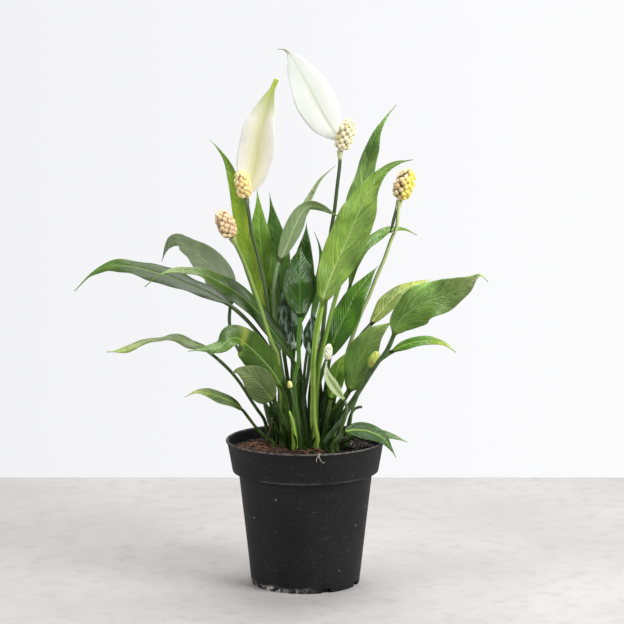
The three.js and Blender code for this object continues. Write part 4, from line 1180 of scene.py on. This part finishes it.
def pot_material():
    """Black satin plastic with masks for wear, painted highlights on the rim and the band's lip, lime, specks
    and scratches.
    """
    made, tree, skin = new_material("pot_plastic")
    spot = spot_of(tree)
    x, _, z = split(spot)
    cloud = noise(spot, 25.0, 5.0, 0.65)
    rough = noise(spot, 220.0, 5.0, 0.7)
    colour = mixed(mask(cloud, 0.3, 0.75), (12, 12, 14), (23, 23, 26))

    # Scratches: a noise squeezed in height, so that they lie level. Specks: one cell in three has one.
    level = add(tree, "Mapping", spot, None, (0.2, 0.5, 0.3), (95, 95, 900))
    scratch = mask(noise(level, 1.0, 4.0, 0.6), 0.6, 0.72) * mask(cloud, 0.46, 0.62)
    colour = mixed(scratch * 0.22, colour, (120, 118, 116))
    cells = add(tree, "TexVoronoi", spot, None, 105.0)
    chance = split(Wire(tree, cells.socket.node.outputs[1]))[0]
    speck = mask(cells, 0.085, 0.03) * mask(chance, 0.62, 0.7)
    colour = mixed(speck * 0.8, colour, (186, 182, 178))
    dust = mask(noise(spot, 700.0, 2.0, 0.5), 0.66, 0.78)
    colour = mixed(dust * 0.22, colour, (150, 146, 142))

    # Pale bands on the rim and on the lower lip, partly wear and partly painted highlight, and lime at the
    # left of the foot.
    rim_wear_and_highlight = mask(z, RIM_START, RIM_FULL) * (mask(rough, 0.38, 0.62) * 0.6 + 0.12)
    colour = mixed(rim_wear_and_highlight, colour, (112, 106, 100))
    lip_wear_and_highlight = mask(abs(z - BAND_LIP), 0.0011, 0.0003) * mask(cloud, 0.46, 0.64)
    colour = mixed(lip_wear_and_highlight * 0.3, colour, (128, 126, 124))
    lime = mask(z - cloud * 0.011, 0.0, -0.0035) * mask(x, 0.012, -0.022) * mask(rough, 0.46, 0.54)
    colour = mixed(lime * 0.85, colour, (196, 192, 186))

    put(0.28, skin["Specular IOR Level"])
    dress(skin, colour, rough * 0.22 + 0.5, rough + scratch * -0.4, 0.25, 0.0006)
    return made


# %% Pot
pot = piece("pot_fine", *pot_surface(), pot_material(), "pot_plastic", ["pot"])
pot.data.set_sharp_from_angle(angle=math.radians(38))
print("pot faces:", len(pot.data.polygons))

# %% [markdown]
# ## The peat
#
# The pot is filled with coarse peat: dark crumbs, reddish-brown fibres and a few white grains of perlite.
# The body of it is a lumpy disc, whose height is a gentle dome plus waves of several lengths. On it lie
# loose crumbs, fibres and grains, each kind in one piece, drawn at seeded random places. The peat lies
# higher at the front left, where it almost reaches the rim.

# %% Peat surface
def lumps(x, y, size, seed):
    """A sum of twelve plane waves in random directions, each about the given size from crest to crest."""
    draw = np.random.default_rng(seed)
    total = 0.0 * x
    for heading, phase, stretch in draw.uniform((0, 0, 0.7), (6.283, 6.283, 1.4), (12, 3)):
        total = total + np.sin(6.283 * (x * np.cos(heading) + y * np.sin(heading)) / (size * stretch) + phase)
    return total / 5


def peat_height(x, y):
    """The dome, lower at the edge, with the heap at the front left and lumps of 14, 6 and 2.6 mm."""
    share = np.hypot(x, y) / 55.7
    heap = 4.2 * hump(x + 40, 16) * hump(y + 14, 22)
    fine = 0.45 * lumps(x, y, 14, 1) + 0.3 * lumps(x, y, 6, 2) + 0.16 * lumps(x, y, 2.6, 3)
    return 104.2 - 2.6 * share**2 + heap + fine


# Radius and height of the rings under the peat and up its side, against the pot's wall.
PEAT_SIDE = np.array([(0.4, 2.5), (38.2, 2.5), (48.5, 84.6), (48.8, 87.6), (53.0, 88.4), (55.2, 99.0)])


def peat_surface(sides=300):
    """Rings under the peat, up its side and in over its top."""
    angle = 2 * np.pi * np.arange(sides) / sides
    below = turned(PEAT_SIDE[:, :1], PEAT_SIDE[:, 1:], angle)
    inner = np.linspace(55.5, 0.3, 96)[:, None]
    top = turned(inner, peat_height(inner * np.cos(angle), inner * np.sin(angle)), angle)
    grid = np.concatenate([below, top])
    return grid, closed_rings(len(grid), sides, inward=True)


# %% Peat materials
def peat_material(name, dark, brown, pale, rough=0.95):
    """Two noises choose between three browns, and the finer one raises grain."""
    made, tree, skin = new_material(name)
    spot = spot_of(tree)
    fine = noise(spot, 800.0, 5.0, 0.7)
    colour = mixed(mask(noise(spot, 180.0, 5.0, 0.7), 0.35, 0.65), dark, brown)
    dress(skin, mixed(mask(fine, 0.55, 0.75) * 0.7, colour, pale), rough, fine, 0.8, 0.001)
    return made


dark_peat = peat_material("peat", (20, 14, 11), (36, 24, 18), (70, 46, 33))
red_peat = peat_material("peat_crumb", (34, 21, 15), (72, 44, 30), (122, 80, 56))
tan_fibre = peat_material("peat_fibre", (70, 44, 28), (126, 84, 56), (196, 152, 112), 0.85)
white_grain = peat_material("perlite", (206, 200, 192), (224, 220, 214), (236, 234, 230), 0.9)
pale_root = peat_material("pale_root", (214, 208, 196), (230, 226, 218), (240, 238, 232), 0.6)

# %% Peat
peat = piece("peat_fine", *peat_surface(), dark_peat, "peat", ["soil"])
print("peat faces:", len(peat.data.polygons))

# %% Loose crumbs and grains
GOLD, BALL_REACH = (1 + 5**0.5) / 2, 1.902
BALL = np.array([(-1, GOLD, 0), (1, GOLD, 0), (-1, -GOLD, 0), (1, -GOLD, 0), (0, -1, GOLD), (0, 1, GOLD),
                 (0, -1, -GOLD), (0, 1, -GOLD), (GOLD, 0, -1), (GOLD, 0, 1), (-GOLD, 0, -1),
                 (-GOLD, 0, 1)]) / BALL_REACH
BALL_FACES = np.array([(0, 11, 5), (0, 5, 1), (0, 1, 7), (0, 7, 10), (0, 10, 11), (1, 5, 9), (5, 11, 4),
                       (11, 10, 2), (10, 7, 6), (7, 1, 8), (3, 9, 4), (3, 4, 2), (3, 2, 6), (3, 6, 8),
                       (3, 8, 9), (4, 9, 5), (2, 4, 11), (6, 2, 10), (8, 6, 7), (9, 8, 1)])


def scattered(count, seed, centre, spread, inside=54.0):
    """Seeded random places in the pot, gathered about a centre, and kept inside the wall."""
    draw = np.random.default_rng(seed)
    spots = draw.normal(centre, spread, (count * 30, 2))
    return spots[np.hypot(*spots.T) < inside][:count], draw


def copied(faces, points_each, count):
    """The faces of that many copies of a shape, whose points follow each other."""
    return (faces[None] + points_each * np.arange(count)[:, None, None]).reshape(-1, faces.shape[1])


def grains(spots, draw, low, high, sink=0.2):
    """A twenty-sided ball at each place, squashed and roughened by random factors."""
    n = len(spots)
    size = draw.uniform(low, high, (n, 1, 1)) * draw.uniform(0.6, 1.3, (n, 1, 3))
    ball = BALL[None] * (size * draw.uniform(0.75, 1.2, (n, 12, 1)))
    turn = draw.uniform(0, 6.283, (n, 1))
    x = ball[..., 0] * np.cos(turn) - ball[..., 1] * np.sin(turn) + spots[:, :1]
    y = ball[..., 0] * np.sin(turn) + ball[..., 1] * np.cos(turn) + spots[:, 1:]
    z = ball[..., 2] + (peat_height(*spots.T) + low * (1 - sink))[:, None]
    return np.stack([x, y, z], -1), copied(BALL_FACES, 12, n)


# Each kind: how many, seed, middle, spread, smallest and largest size, finish.
for name, count, seed, centre, spread, low, high, finish in [
    ("peat_crumbs", 900, 11, (0, 0), 60, 0.5, 1.6, dark_peat),
    ("red_crumbs", 360, 12, (-40, -12), 17, 0.5, 1.5, red_peat),
    ("perlite_grains", 46, 13, (0, 0), 40, 0.35, 0.9, white_grain),
]:
    spots, draw = scattered(count, seed, centre, spread)
    heap = piece(name, *grains(spots, draw, low, high), finish, "peat")
    heap.data.polygons.foreach_set("use_smooth", np.zeros(len(heap.data.polygons), dtype=bool))
    print(name, len(spots))

# %% [markdown]
# ## Fibres and loose roots
#
# Peat fibres are thin curved threads that lie on the surface. Each is a short line with a random bend,
# given a square section, and all of them are worked out at once as one array. Two pale roots are single
# longer threads: one arches over the peat at the right, one hangs over the front of the rim and forks.

# %% Fibres
THREAD_POINTS, THREAD_REACH = 9, 56.0


def threads(spots, draw, long, thick, rise):
    """For each place: a thread of nine points whose heading turns steadily, with four sides."""
    n, m = len(spots), THREAD_POINTS
    s = np.linspace(-0.5, 0.5, m)[None, :]
    length, bend = draw.uniform(*long, (n, 1)), draw.uniform(-2.2, 2.2, (n, 1))
    heading = draw.uniform(0, 6.283, (n, 1)) + bend * s
    middle = heading[:, m // 2:m // 2 + 1]
    step = length / (m - 1)
    x = spots[:, :1] + np.cumsum(np.cos(heading) * step, axis=1) - length / 2 * np.cos(middle)
    y = spots[:, 1:] + np.cumsum(np.sin(heading) * step, axis=1) - length / 2 * np.sin(middle)
    held = np.minimum(1, THREAD_REACH / np.hypot(x, y))
    x, y = x * held, y * held
    z = peat_height(x, y) + 0.6 + draw.uniform(0, rise, (n, 1)) * (1 - 4 * s**2)
    r = draw.uniform(*thick, (n, 1)) * (1 - 0.7 * np.abs(2 * s) ** 3)
    corner = np.array([0, 1, 2, 3]) * np.pi / 2
    out, up = r[..., None] * np.cos(corner), r[..., None] * np.sin(corner)
    points = joined(x[..., None] - np.sin(heading)[..., None] * out,
                    y[..., None] + np.cos(heading)[..., None] * out, z[..., None] + up)
    return points, copied(closed_rings(m, 4), 4 * m, n)


# Each kind: how many, seed, middle, spread, range of lengths, range of radii, rise, finish, slot.
for name, count, seed, centre, spread, long, thick, rise, finish, slot in [
    ("left_fibres", 240, 21, (-40, -16), 16, (5, 15), (0.12, 0.3), 1.0, tan_fibre, "dry_stem"),
    ("middle_fibres", 150, 22, (8, -8), 26, (4, 12), (0.12, 0.26), 1.0, red_peat, "peat"),
    ("dry_sheaths", 16, 23, (4, -22), 8, (9, 17), (0.3, 0.6), 2.5, tan_fibre, "dry_stem"),
]:
    spots, draw = scattered(count, seed, centre, spread)
    piece(name, *threads(spots, draw, long, thick, rise), finish, slot)

LOOSE_ROOTS = {
    "arching_root": [[26, 4, 106], [28, 2, 110.5], [31, 0, 110.8], [35, -3, 108.5], [38, -5, 104.5]],
    "rim_root": [[8, -53, 104], [9.5, -57.5, 109], [10, -59.6, 110.5], [10.5, -60.1, 108], [12, -59.5, 105],
                 [13.5, -59.2, 103.6], [14.5, -59.3, 104.4]],
    "rim_root_fork": [[9.9, -60.2, 109.2], [8.7, -60.0, 107.6], [8.2, -59.7, 105.8], [8.6, -59.5, 104.2]],
}
for name, path in LOOSE_ROOTS.items():
    points, faces, _ = tube_surface(bent_line(path), 0.22, 0.1, sides=8, step=0.8, flute=0.0)
    piece(name, points, faces, pale_root, "dry_stem")
print("fibres and roots placed")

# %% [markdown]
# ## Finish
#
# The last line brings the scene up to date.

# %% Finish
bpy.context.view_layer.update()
